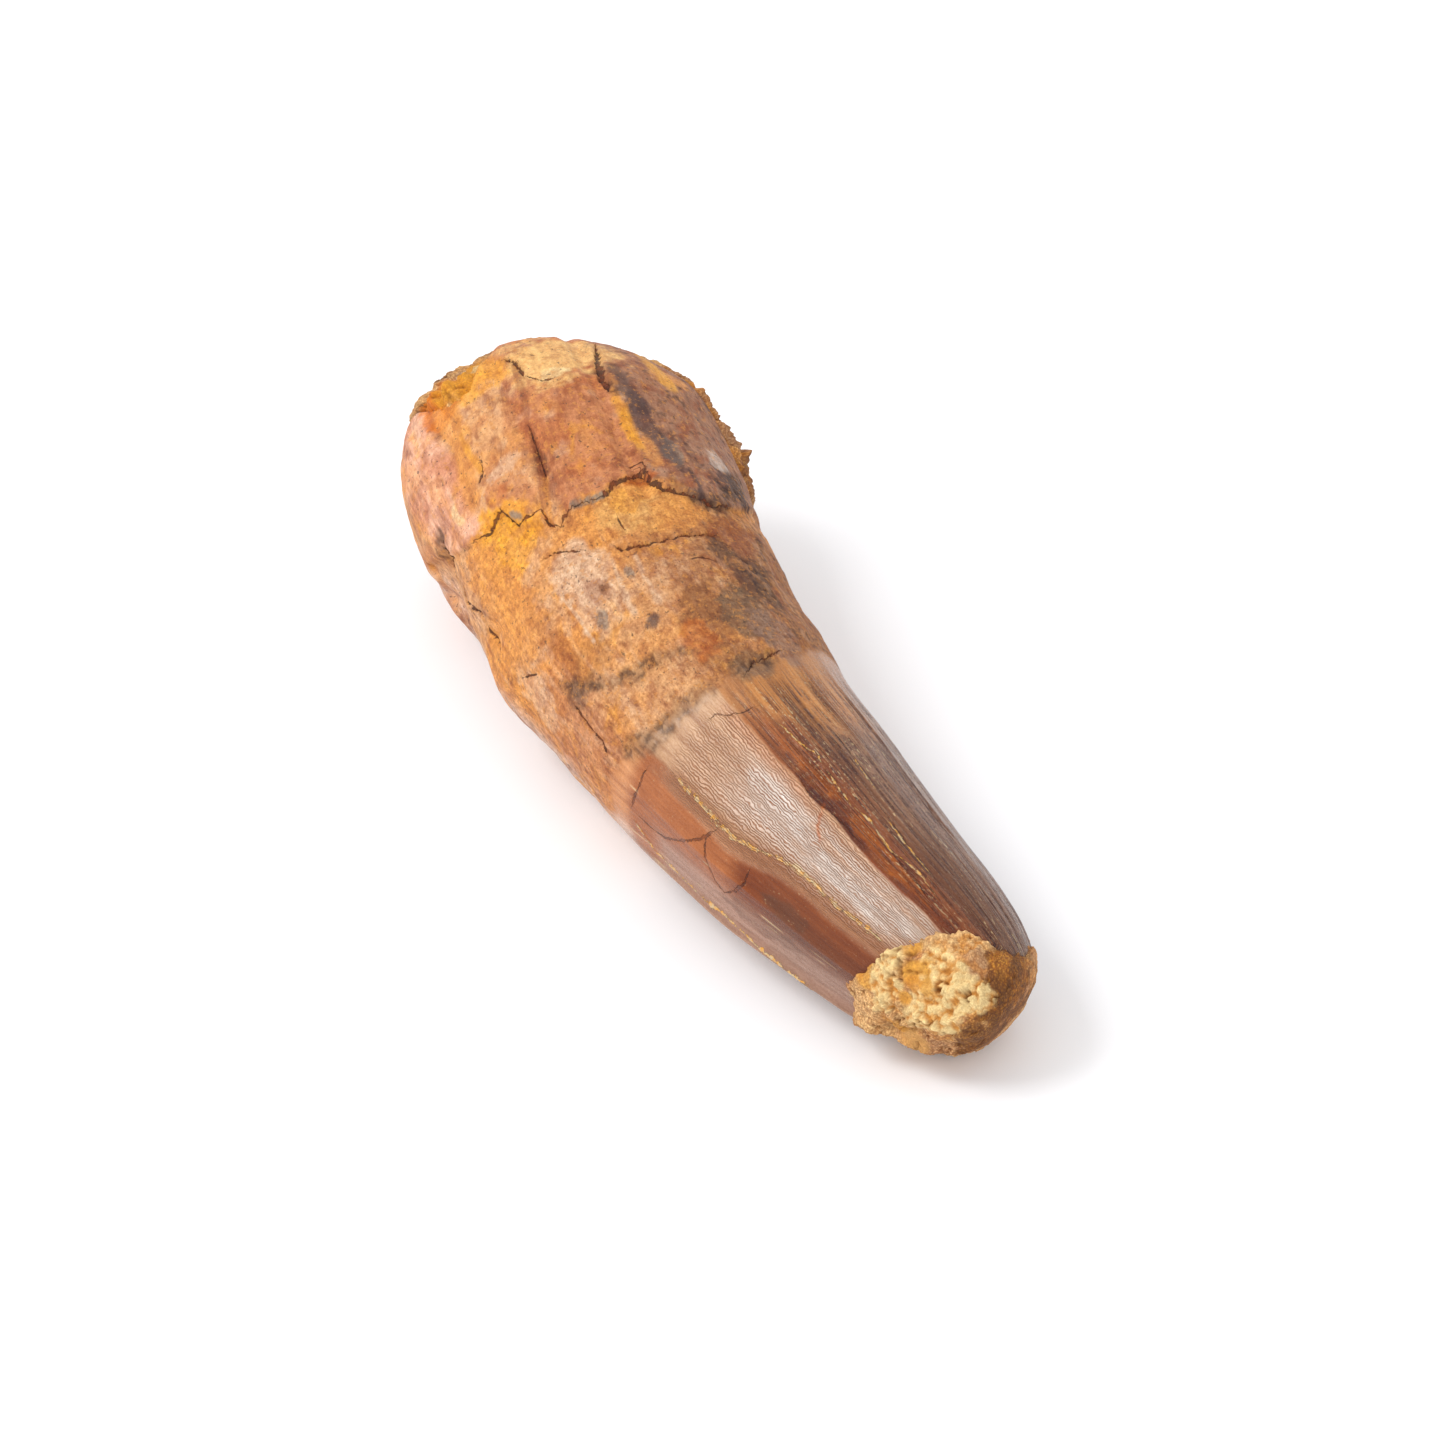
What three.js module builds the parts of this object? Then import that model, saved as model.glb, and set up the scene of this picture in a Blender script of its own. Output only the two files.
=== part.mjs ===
// A fossil dinosaur tooth that lies on its side: a stout curved root and crown preserved as one
// solid, with sandstone cemented over its broken tip and over its broken root end.
//
// Millimetres. +X runs from the root to the tip, +Y is the hollow side of the bend and +Z is up.
// The origin is on the ground, under the middle of the whole fossil.
//
// Every point of the skin is named by two numbers: "along", the distance in mm on the axis from
// the middle of the tooth, and "angle", in degrees round the section, with 0 at +Y and 90 on top.

import * as THREE from 'three';

// ---- Driving dimensions of the tooth ----
const AXIS_LENGTH = 95;
const HALF_WIDTHS = [15, 16.2, 15.3, 14.4, 13.2, 11.9, 9.9, 7.8]; // at even steps, root to tip
const HEIGHT_TO_WIDTH = 0.94;
const BEND = { depth: 29, lowest: 0.46, offset: -3.1 }; // the centre line's parabola
const ROOT_END = { reach: 11, power: 2.9, leanSide: 3.5, leanTop: -1.2, leanShare: 0.22 };
const TIP_END = { reach: 14, power: 3.2, leanSide: -1.3, leanTop: 2.6, leanShare: 0.2 };
const SETTLE = 0.5; // how much of the rounded belly is worn flat where it rests
const MIDDLE = { x: -1, y: -0.5 }; // where the middle of the fossil lies before it is centred

// ---- Relief ----
// The outer root plates end at a jagged ledge. Pairs of [angle, along] round the section.
const LEDGE = [
  [0, -20], [24, -19], [42, -15.5], [54, -14], [66, -14.5], [78, -16], [84, -18], [96, -16.5],
  [114, -17], [120, -16], [126, -18.5], [132, -19.5], [138, -22], [150, -22], [156, -23.5],
  [174, -27], [192, -31], [216, -28], [240, -22], [264, -25], [300, -20], [330, -23], [360, -20],
];
const PLATE_LIFT = 0.45;
const LEDGE_RUN = 0.5; // half the run of the slope down the ledge
const SEAM_FADE = 1; // half the run in which a seam closes at its end
// Open seams between the root plates: angle, depth, half width in degrees, and where they end.
const SEAMS = [
  { angle: 84, depth: 0.5, spread: 5, end: -15 },
  { angle: 114, depth: 0.35, spread: 5, end: -18 },
  { angle: 144, depth: 0.4, spread: 6, end: -22 },
  { angle: 204, depth: 0.4, spread: 6, end: -24 },
  { angle: 264, depth: 0.5, spread: 6, end: -18 },
  { angle: 324, depth: 0.4, spread: 6, end: -20 },
];
// The crown's lengthwise facets run between these edges. A hollow of 1 is flat, more is scooped.
const FACETS = [
  { from: 12, to: 30, hollow: 1.2 },
  { from: 30, to: 48, hollow: 1.6 },
  { from: 48, to: 66, hollow: 1.3 },
  { from: 66, to: 78, hollow: 1.8 },
  { from: 78, to: 90, hollow: 1.8 },
  { from: 90, to: 108, hollow: 2.2 },
  { from: 108, to: 144, hollow: 1.1 },
  { from: 144, to: 168, hollow: 1.2 },
  { from: 168, to: 204, hollow: 0.9 },
  { from: 204, to: 246, hollow: 0.8 },
  { from: 246, to: 282, hollow: 1.0 },
  { from: 282, to: 324, hollow: 0.9 },
  { from: 324, to: 372, hollow: 0.8 },
];
const CROWN = { start: 2, full: 20 }; // where the facets fade in
const KEEL = { angle: 204, height: 0.5, spread: 7 };
// Pits and hollows in the skin, and with a depth below zero, swellings.
const PITS = [
  { along: -27, angle: 174, depth: 0.9, radius: 1.8 },
  { along: 8, angle: 85, depth: 0.5, radius: 2.6 },
  { along: -16, angle: 174, depth: 0.6, radius: 2.2 },
  { along: -27, angle: 194, depth: 1.0, radius: 6 },
  { along: -13, angle: 196, depth: -1.0, radius: 7 },
  { along: -30, angle: 305, depth: 0.8, radius: 3 },
  { along: -6, angle: 335, depth: 0.7, radius: 3 },
  { along: 4, angle: 250, depth: 0.5, radius: 4 },
];
// Low lumps all over the skin: two waves that cross. They are lower on the crown than on the root.
const SWELL = { root: 0.35, crown: 0.1, rootEnds: -10, crownStarts: 15 };
const BROAD_WAVE = { share: 0.6, run: 4.3, twist: 2, phase: 0.8, crossings: 2, crossRun: 9 };
const NARROW_WAVE = { share: 0.4, run: 2.1, turns: 3, phase: 1.9 };

// ---- Broken ends and the sandstone on them ----
// Pairs of [angle, along]: where the tooth's skin stops and the sandstone starts.
const ROOT_EDGE = [
  [0, -26], [12, -27], [24, -29.5], [36, -34], [48, -40], [60, -43], [75, -44.5], [90, -44.5],
  [108, -43.5], [114, -41], [126, -36.5], [138, -37], [150, -40], [168, -43.5], [198, -44],
  [234, -42], [270, -43], [306, -38.5], [336, -31], [360, -26],
];
const TIP_EDGE = [
  [0, 43.2], [30, 44.6], [54, 45.4], [72, 45], [84, 43.2], [96, 41], [114, 40], [132, 38.5],
  [150, 37], [180, 35.5], [210, 36.5], [240, 39], [264, 38], [300, 40], [336, 42], [360, 43.2],
];
const ROOT_HOLLOW = 5; // depth of the pulp cavity that the sandstone fills
const TIP_BULGE = 2.5; // how far the broken tip stands out inside its sandstone
const FACE_ROUGHNESS = 0.5;
const JOINT_GAP = 0.35;
const TIP_CRUST = { lift: 0.35, lumps: 1.3, grain: 1.2 };
const ROOT_CRUST = { lift: 0.3, lumps: 1.4, grain: 1.0 };
const LUMP_SIZE = 3.4;
const GRAIN_SIZE = 1.5;

// ---- Mesh fineness ----
const SIDES = 60;
const PLATE_RINGS = 9;
const BODY_RINGS = 34;
const FACE_RINGS = 4;
const CRUST_RINGS = 10;

const ENAMEL = { color: 0x9a5526, roughness: 0.4, metalness: 0 };
const PALE_SANDSTONE = { color: 0xd9a95c, roughness: 0.95, metalness: 0 };
const RUSTY_SANDSTONE = { color: 0xc8862f, roughness: 0.95, metalness: 0 };

const { degToRad, lerp } = THREE.MathUtils;

const clamp01 = (value) => THREE.MathUtils.clamp(value, 0, 1);
const smooth = (from, to, value) => THREE.MathUtils.smoothstep(value, from, to);
const bump = (distance, spread) => 1 - smooth(0, spread, Math.abs(distance));
const turnBetween = (a, b) => THREE.MathUtils.euclideanModulo(a - b + 180, 360) - 180;

// Reads a smooth value off a list that is spaced evenly from 0 to 1 (Catmull-Rom).
function evenStations(values, share) {
  const last = values.length - 1;
  const place = clamp01(share) * last;
  const i = Math.min(Math.floor(place), last - 1);
  const f = place - i;
  const a = values[Math.max(i - 1, 0)];
  const b = values[i];
  const c = values[i + 1];
  const d = values[Math.min(i + 2, last)];
  return b + 0.5 * f * (c - a + f * (2 * a - 5 * b + 4 * c - d + f * (3 * (b - c) + d - a)));
}

// Reads a value off [angle, value] pairs that go once round the section.
function roundTheSection(pairs, angle) {
  const turn = THREE.MathUtils.euclideanModulo(angle, 360);
  const next = Math.max(pairs.findIndex(([at]) => at > turn), 1);
  const [fromAngle, fromValue] = pairs[next - 1];
  const [toAngle, toValue] = pairs[next];
  return THREE.MathUtils.mapLinear(turn, fromAngle, toAngle, fromValue, toValue);
}

// Value noise between 0 and 1: random numbers on a lattice, blended smoothly between its points.
const LATTICE = { x: 127.1, y: 311.7, z: 74.7, spread: 43758.5453 };

function latticeValue(i, j, k) {
  const mixed = Math.sin(i * LATTICE.x + j * LATTICE.y + k * LATTICE.z) * LATTICE.spread;
  return mixed - Math.floor(mixed);
}

function valueNoise(point, size) {
  const place = point.clone().divideScalar(size);
  const cell = place.clone().floor();
  const f = place.sub(cell);
  const weights = ['x', 'y', 'z'].map((axis) => f[axis] ** 2 * (3 - 2 * f[axis]));
  let total = 0;
  for (let corner = 0; corner < 8; corner += 1) {
    const step = [corner & 1, (corner >> 1) & 1, (corner >> 2) & 1];
    const weight = step.reduce((w, on, axis) => w * (on ? weights[axis] : 1 - weights[axis]), 1);
    total += weight * latticeValue(cell.x + step[0], cell.y + step[1], cell.z + step[2]);
  }
  return total;
}

// The same noise, between -0.5 and 0.5.
const unevenness = (point, size) => valueNoise(point, size) - 0.5;

// How far a rounded end has opened at a distance from its tip, from 0 to 1.
function roundEnd(distance, { reach, power }) {
  const left = 1 - clamp01(distance / reach);
  return (1 - left ** power) ** (1 / power);
}

// Low lumps of the skin, in mm outwards.
function swelling(along, turn) {
  const height = lerp(SWELL.root, SWELL.crown, smooth(SWELL.rootEnds, SWELL.crownStarts, along));
  const twist = BROAD_WAVE.twist * Math.sin(turn);
  const broad = Math.sin(along / BROAD_WAVE.run + twist + BROAD_WAVE.phase)
    * Math.cos(BROAD_WAVE.crossings * turn - along / BROAD_WAVE.crossRun);
  const narrow = Math.sin(along / NARROW_WAVE.run - NARROW_WAVE.turns * turn + NARROW_WAVE.phase);
  return height * (BROAD_WAVE.share * broad + NARROW_WAVE.share * narrow);
}

// Relief on the tooth's skin, in mm outwards.
function relief(along, angle, radius) {
  const pastLedge = along - roundTheSection(LEDGE, angle);
  let height = PLATE_LIFT * (1 - smooth(-LEDGE_RUN, LEDGE_RUN, pastLedge));
  for (const seam of SEAMS) {
    const open = 1 - smooth(seam.end - SEAM_FADE, seam.end + SEAM_FADE, along);
    height -= seam.depth * open * bump(turnBetween(angle, seam.angle), seam.spread);
  }
  const crown = smooth(CROWN.start, CROWN.full, along);
  for (const { from, to, hollow } of FACETS) {
    const half = (to - from) / 2;
    const off = turnBetween(angle, from + half);
    if (Math.abs(off) <= half) {
      const chord = Math.cos(degToRad(half)) / Math.cos(degToRad(off));
      height -= crown * hollow * radius * (1 - chord);
    }
  }
  height += crown * KEEL.height * bump(turnBetween(angle, KEEL.angle), KEEL.spread);
  for (const pit of PITS) {
    const round = degToRad(turnBetween(angle, pit.angle)) * radius;
    height -= pit.depth * bump(Math.hypot(along - pit.along, round), pit.radius);
  }
  return height + swelling(along, degToRad(angle));
}

// A point of the skin, lifted outwards by "lift" mm on top of the relief.
function skin(along, angle, lift = 0) {
  const share = along / AXIS_LENGTH + 0.5;
  const slope = (2 * BEND.depth * (share - BEND.lowest)) / AXIS_LENGTH;
  const halfWidth = evenStations(HALF_WIDTHS, share);
  const fromRoot = AXIS_LENGTH / 2 + along;
  const fromTip = AXIS_LENGTH / 2 - along;
  const opened = roundEnd(fromRoot, ROOT_END) * roundEnd(fromTip, TIP_END);
  const turn = degToRad(angle);
  const out = relief(along, angle, halfWidth) + lift;
  const side = (halfWidth + out) * opened * Math.cos(turn);
  const rise = (halfWidth * HEIGHT_TO_WIDTH + out) * opened * Math.sin(turn);
  const lean = ({ leanShare, leanSide, leanTop }, nearness) => {
    const leaning = leanSide * Math.cos(turn) + leanTop * Math.sin(turn);
    return clamp01(1 - nearness / leanShare) * opened * leaning;
  };
  const across = 1 / Math.hypot(1, slope);
  return new THREE.Vector3(
    along - side * slope * across + lean(ROOT_END, share) + lean(TIP_END, 1 - share) - MIDDLE.x,
    BEND.offset + BEND.depth * (share - BEND.lowest) ** 2 + side * across - MIDDLE.y,
    Math.max(halfWidth * HEIGHT_TO_WIDTH - SETTLE + rise, 0),
  );
}

const angles = Array.from({ length: SIDES }, (_, i) => (i * 360) / SIDES);
const steps = (count) => Array.from({ length: count + 1 }, (_, i) => i / count);

// Rings of the broken face inside a rim, from the rim towards its middle, which lies "depth" mm
// further along X.
function brokenFace(rim, depth, shift) {
  const middle = rim.reduce((sum, point) => sum.add(point), new THREE.Vector3()).divideScalar(SIDES);
  const rings = steps(FACE_RINGS).slice(0, -1).map((share) => {
    const size = 1 - share;
    return rim.map((point) => {
      const placed = middle.clone().lerp(point, size);
      const rough = size < 1 ? FACE_ROUGHNESS * unevenness(placed, LUMP_SIZE) : 0;
      placed.x += depth * (1 - size ** 2) + rough + shift;
      return placed;
    });
  });
  return { rings, pole: middle.add(new THREE.Vector3(depth + shift, 0, 0)) };
}

// One closed body: a pole, rings in order from -X to +X, and a pole.
function closedBody(startPole, rings, endPole) {
  const points = [startPole, ...rings.flat(), endPole];
  const at = (ring, side) => 1 + ring * SIDES + (side % SIDES);
  const faces = [];
  for (let side = 0; side < SIDES; side += 1) {
    faces.push(0, at(0, side + 1), at(0, side));
    for (let ring = 0; ring < rings.length - 1; ring += 1) {
      const a = at(ring, side);
      const b = at(ring, side + 1);
      const c = at(ring + 1, side + 1);
      const d = at(ring + 1, side);
      faces.push(a, b, c, a, c, d);
    }
    faces.push(points.length - 1, at(rings.length - 1, side), at(rings.length - 1, side + 1));
  }
  const geometry = new THREE.BufferGeometry().setFromPoints(points);
  geometry.setIndex(faces);
  geometry.computeVertexNormals();
  return geometry;
}

const rootRim = angles.map((angle) => skin(roundTheSection(ROOT_EDGE, angle), angle));
const tipRim = angles.map((angle) => skin(roundTheSection(TIP_EDGE, angle), angle));

function toothBody() {
  const rootFace = brokenFace(rootRim, ROOT_HOLLOW, 0);
  const tipFace = brokenFace(tipRim, TIP_BULGE, 0);
  const between = (from, to, count) => steps(count).map((share) => angles.map((angle) => {
    const along = lerp(from(angle), to(angle), share);
    return skin(along, angle);
  }));
  const ledge = (offset) => (angle) => roundTheSection(LEDGE, angle) + offset;
  const rootEdge = (angle) => roundTheSection(ROOT_EDGE, angle);
  const tipEdge = (angle) => roundTheSection(TIP_EDGE, angle);
  const plates = between(rootEdge, ledge(-LEDGE_RUN), PLATE_RINGS);
  const body = between(ledge(LEDGE_RUN), tipEdge, BODY_RINGS);
  const rings = [
    ...rootFace.rings.slice(1).reverse(),
    ...plates,
    ...body,
    ...tipFace.rings.slice(1),
  ];
  return closedBody(rootFace.pole, rings, tipFace.pole);
}

// Lumpy sandstone from the edge of the tooth's skin round the end of the fossil.
function crustRings(edge, endAlong, { lift, lumps, grain }) {
  return steps(CRUST_RINGS).slice(1, -1).map((share) => angles.map((angle) => {
    const along = lerp(endAlong, roundTheSection(edge, angle), (1 - share) ** 2);
    const base = skin(along, angle);
    const rough = lumps * unevenness(base, LUMP_SIZE) + grain * unevenness(base, GRAIN_SIZE);
    return skin(along, angle, lift + rough);
  }));
}

function tipMatrixBody() {
  const face = brokenFace(tipRim, TIP_BULGE, JOINT_GAP);
  const end = AXIS_LENGTH / 2;
  const rings = [...face.rings.reverse(), ...crustRings(TIP_EDGE, end, TIP_CRUST)];
  return closedBody(face.pole, rings, skin(end, 0));
}

function rootMatrixBody() {
  const face = brokenFace(rootRim, ROOT_HOLLOW, -JOINT_GAP);
  const end = -AXIS_LENGTH / 2;
  const rings = [...crustRings(ROOT_EDGE, end, ROOT_CRUST).reverse(), ...face.rings];
  return closedBody(skin(end, 0), rings, face.pole);
}

function piece(name, geometry, look) {
  const mesh = new THREE.Mesh(geometry, new THREE.MeshStandardMaterial(look));
  mesh.name = name;
  return mesh;
}

const fossil = new THREE.Group();
fossil.add(
  piece('tooth', toothBody(), ENAMEL),
  piece('tip_matrix', tipMatrixBody(), PALE_SANDSTONE),
  piece('root_matrix', rootMatrixBody(), RUSTY_SANDSTONE),
);

export default fossil;
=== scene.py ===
"""The looks of the fossil dinosaur tooth: a fine skin, sandstone crusts, materials, floor and light.

Sizes are in millimetres until a mesh is made, which turns them into metres. A point of the skin is
named as in the CAD model: "along" is the distance in mm on the axis from the middle of the tooth,
and "angle" is in degrees round the section, with 0 at +Y and 90 on top.
"""

import math

import bpy
import numpy as np
from mathutils import Matrix, Vector


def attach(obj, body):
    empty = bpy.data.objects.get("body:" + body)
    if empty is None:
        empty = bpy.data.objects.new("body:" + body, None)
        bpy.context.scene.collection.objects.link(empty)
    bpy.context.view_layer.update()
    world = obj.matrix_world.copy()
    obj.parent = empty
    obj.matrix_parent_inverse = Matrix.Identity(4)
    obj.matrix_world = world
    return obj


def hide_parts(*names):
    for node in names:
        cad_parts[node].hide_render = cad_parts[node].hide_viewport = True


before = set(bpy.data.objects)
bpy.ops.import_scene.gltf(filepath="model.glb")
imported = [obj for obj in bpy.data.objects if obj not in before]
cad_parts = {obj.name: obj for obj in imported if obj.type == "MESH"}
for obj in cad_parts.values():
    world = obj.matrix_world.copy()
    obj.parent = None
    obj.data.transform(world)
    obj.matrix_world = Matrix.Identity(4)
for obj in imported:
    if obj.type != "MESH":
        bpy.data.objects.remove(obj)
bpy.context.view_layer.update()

MM = 0.001
SEED = 7
TINT_DARK, TINT_LIGHT = np.array([1, 1.35, 1.6]), np.array([1, 1.3, 1.5])  # what a tint does, by channel
STUDIO_LIGHT = 1.4  # how much brighter the studio's light shows a surface than it is
STUDIO_SHEEN = 0.025  # the white that every surface mirrors on top of that
DARKEST = 0.004  # the least that any surface reflects

# ---- The tooth's form, as in the CAD model ----
AXIS_LENGTH = 95
HALF_WIDTHS = [15, 16.2, 15.3, 14.4, 13.2, 11.9, 9.9, 7.8]
HEIGHT_TO_WIDTH = 0.94
BEND_DEPTH, BEND_LOWEST, BEND_OFFSET = 29, 0.46, -3.1
ROOT_END = {"reach": 11, "power": 2.9, "lean_side": 3.5, "lean_top": -1.2, "lean_share": 0.22}
TIP_END = {"reach": 14, "power": 3.2, "lean_side": -1.3, "lean_top": 2.6, "lean_share": 0.2}
SETTLE = 0.5
MIDDLE_X, MIDDLE_Y = -1, -0.5
LEDGE = [
    (0, -20), (24, -19), (42, -15.5), (54, -14), (66, -14.5), (78, -16), (84, -18), (96, -16.5),
    (114, -17), (120, -16), (126, -18.5), (132, -19.5), (138, -22), (150, -22), (156, -23.5),
    (174, -27), (192, -31), (216, -28), (240, -22), (264, -25), (300, -20), (330, -23), (360, -20),
]
PLATE_LIFT = 0.45
LEDGE_RUN = 0.5
SEAMS = [  # angle, depth, half width in degrees, and where it ends
    (84, 0.5, 5, -15), (114, 0.35, 5, -18), (144, 0.4, 6, -22),
    (204, 0.4, 6, -24), (264, 0.5, 6, -18), (324, 0.4, 6, -20),
]
FACETS = [  # from angle, to angle, hollow
    (12, 30, 1.2), (30, 48, 1.6), (48, 66, 1.3), (66, 78, 1.8), (78, 90, 1.8), (90, 108, 2.2),
    (108, 144, 1.1), (144, 168, 1.2), (168, 204, 0.9), (204, 246, 0.8), (246, 282, 1),
    (282, 324, 0.9), (324, 372, 0.8),
]
CROWN_START, CROWN_FULL = 2, 20
KEEL_ANGLE, KEEL_HEIGHT, KEEL_SPREAD = 204, 0.5, 7
PITS = [  # along, angle, depth, radius
    (-27, 174, 0.9, 1.8), (8, 85, 0.5, 2.6), (-16, 174, 0.6, 2.2), (-27, 194, 1, 6),
    (-13, 196, -1, 7), (-30, 305, 0.8, 3), (-6, 335, 0.7, 3), (4, 250, 0.5, 4),
]
SEAM_FADE = 1
SWELL = {"root": 0.35, "crown": 0.1, "root_ends": -10, "crown_starts": 15}
BROAD_WAVE = {"share": 0.6, "run": 4.3, "twist": 2, "phase": 0.8, "crossings": 2, "cross_run": 9}
NARROW_WAVE = {"share": 0.4, "run": 2.1, "turns": 3, "phase": 1.9}
ROOT_EDGE = [
    (0, -26), (12, -27), (24, -29.5), (36, -34), (48, -40), (60, -43), (75, -44.5), (90, -44.5),
    (108, -43.5), (114, -41), (126, -36.5), (138, -37), (150, -40), (168, -43.5), (198, -44),
    (234, -42), (270, -43), (306, -38.5), (336, -31), (360, -26),
]
TIP_EDGE = [
    (0, 43.2), (30, 44.6), (54, 45.4), (72, 45), (84, 43.2), (96, 41), (114, 40), (132, 38.5),
    (150, 37), (180, 35.5), (210, 36.5), (240, 39), (264, 38), (300, 40), (336, 42), (360, 43.2),
]
ROOT_HOLLOW, TIP_BULGE = 5, 2.5
CAD_LUMP_SIZE, CAD_GRAIN_SIZE = 3.4, 1.5
LATTICE = (127.1, 311.7, 74.7, 43758.5453)  # what scrambles a lattice point into a random number
MEAN_RADIUS = 13  # for noise and lines that follow the tooth
SEEN_MIDDLE = 118  # the angle that faces the camera most
OCTAVE_SHIFT, FRACTAL_RANGE = 31.7, 1.4  # between a noise's sizes, and what their sum is divided by

# ---- Camera, in millimetres and degrees ----
PHOTO_SIZE = 1445
CAMERA_AZIMUTH, CAMERA_ELEVATION, CAMERA_DISTANCE = 62.9, 39.6, 579
CAMERA_TARGET = (4.9, -2.3, 13.7)
FOCAL_LENGTH, SENSOR = 147.6, 36
CLIPPING = (0.01, 20)  # in metres


# ---- Small helpers ----
def smooth(start, stop, value):
    """0 below start, 1 above stop, eased between them."""
    share = np.clip((value - start) / (stop - start), 0, 1)
    return share * share * (3 - 2 * share)


def fall(start, stop, value):
    """1 below start, 0 above stop, eased between them."""
    return 1 - smooth(start, stop, value)


def bump(distance, spread):
    """1 at no distance, falling smoothly to 0 at the spread."""
    return fall(0, spread, np.abs(distance))


def fade_ends(progress, reach):
    """0 at both ends of a path and 1 further in than the reach, a share of its length."""
    return np.minimum(smooth(0, reach, progress), fall(1 - reach, 1, progress))


def turn_between(a, b):
    """Degrees from b to a, between -180 and 180."""
    return np.mod(a - b + 180, 360) - 180


def even_stations(values, share):
    """Reads a smooth value off a list spaced evenly from 0 to 1 (Catmull-Rom)."""
    values = np.asarray(values, float)
    last = len(values) - 1
    place = np.clip(share, 0, 1) * last
    i = np.minimum(place.astype(int), last - 1)
    f = place - i
    a, b, c, d = values[np.maximum(i - 1, 0)], values[i], values[i + 1], values[np.minimum(i + 2, last)]
    return b + 0.5 * f * (c - a + f * (2 * a - 5 * b + 4 * c - d + f * (3 * (b - c) + d - a)))


def round_the_section(pairs, angle):
    """Reads a value off (angle, value) pairs that go round the section."""
    angles, values = np.array(pairs, float).T
    return np.interp(np.mod(angle, 360), angles, values)


def lattice_value(i, j, k):
    """A fixed random number, 0 to 1, for each point of a lattice."""
    mixed = np.sin(i * LATTICE[0] + j * LATTICE[1] + k * LATTICE[2]) * LATTICE[3]
    return mixed - np.floor(mixed)


def value_noise(points, size):
    """Smooth noise between 0 and 1, with lumps of the given size in mm."""
    place = points / size
    cell = np.floor(place)
    f = place - cell
    weights = f * f * (3 - 2 * f)
    total = np.zeros(points.shape[:-1])
    for corner in np.ndindex(2, 2, 2):
        weight = np.prod(np.where(corner, weights, 1 - weights), axis=-1)
        total += weight * lattice_value(*np.moveaxis(cell + corner, -1, 0))
    return total


def fractal(points, size, octaves=4):
    """Noise of several sizes, between about -1 and 1."""
    total = np.zeros(points.shape[:-1])
    for octave in range(octaves):
        lumps = value_noise(points + OCTAVE_SHIFT * octave, size / 2 ** octave)
        total += (2 * lumps - 1) / 2 ** octave
    return total / FRACTAL_RANGE


def grains(points, size):
    """Distance to the nearest of many scattered grain centres, over the grain size."""
    cell = np.floor(points / size)
    nearest = np.full(points.shape[:-1], np.inf)
    for step in np.ndindex(3, 3, 3):
        i, j, k = np.moveaxis(cell + step - 1, -1, 0)
        aside = lattice_value(i, j, k), lattice_value(j + 17, k, i), lattice_value(k + 31, i, j)
        centre = cell + step - 1 + np.stack(aside, -1)
        nearest = np.minimum(nearest, np.linalg.norm(points / size - centre, axis=-1))
    return nearest


def seen(*colour):
    """What a surface reflects to be seen in this sRGB colour, 0 to 255, in the studio's light."""
    share = np.array(colour) / 255
    linear = np.where(share <= 0.04045, share / 12.92, ((share + 0.055) / 1.055) ** 2.4)
    return np.maximum(linear - STUDIO_SHEEN, DARKEST) / STUDIO_LIGHT


# ---- Skin of the tooth ----
def round_end(distance, end):
    """How far a rounded end has opened at a distance from its tip, 0 to 1."""
    left = 1 - np.clip(distance / end["reach"], 0, 1)
    return (1 - left ** end["power"]) ** (1 / end["power"])


def relief(along, angle, radius):
    """The CAD model's relief on the skin, in mm outwards."""
    ledge = along - round_the_section(LEDGE, angle)
    height = PLATE_LIFT * fall(-LEDGE_RUN, LEDGE_RUN, ledge)
    for seam_angle, depth, spread, end in SEAMS:
        opened = fall(end - SEAM_FADE, end + SEAM_FADE, along)
        height -= depth * opened * bump(turn_between(angle, seam_angle), spread)
    crown = smooth(CROWN_START, CROWN_FULL, along)
    for start, stop, hollow in FACETS:
        half = (stop - start) / 2
        off = turn_between(angle, start + half)
        chord = math.cos(math.radians(half)) / np.cos(np.radians(off))
        height -= np.where(np.abs(off) <= half, crown * hollow * radius * (1 - chord), 0)
    height += crown * KEEL_HEIGHT * bump(turn_between(angle, KEEL_ANGLE), KEEL_SPREAD)
    for pit_along, pit_angle, depth, reach in PITS:
        around = np.radians(turn_between(angle, pit_angle)) * radius
        height -= depth * bump(np.hypot(along - pit_along, around), reach)
    return height + swelling(along, np.radians(angle))


def swelling(along, turn):
    """The CAD model's low lumps, in mm outwards."""
    crown = smooth(SWELL["root_ends"], SWELL["crown_starts"], along)
    height = SWELL["root"] + (SWELL["crown"] - SWELL["root"]) * crown
    broad, narrow = BROAD_WAVE, NARROW_WAVE
    wave = np.sin(along / broad["run"] + broad["twist"] * np.sin(turn) + broad["phase"])
    crossing = np.cos(broad["crossings"] * turn - along / broad["cross_run"])
    ripple = np.sin(along / narrow["run"] - narrow["turns"] * turn + narrow["phase"])
    return height * (broad["share"] * wave * crossing + narrow["share"] * ripple)


def half_width(along):
    """Half the width of the section, without relief."""
    return even_stations(HALF_WIDTHS, along / AXIS_LENGTH + 0.5)


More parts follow.
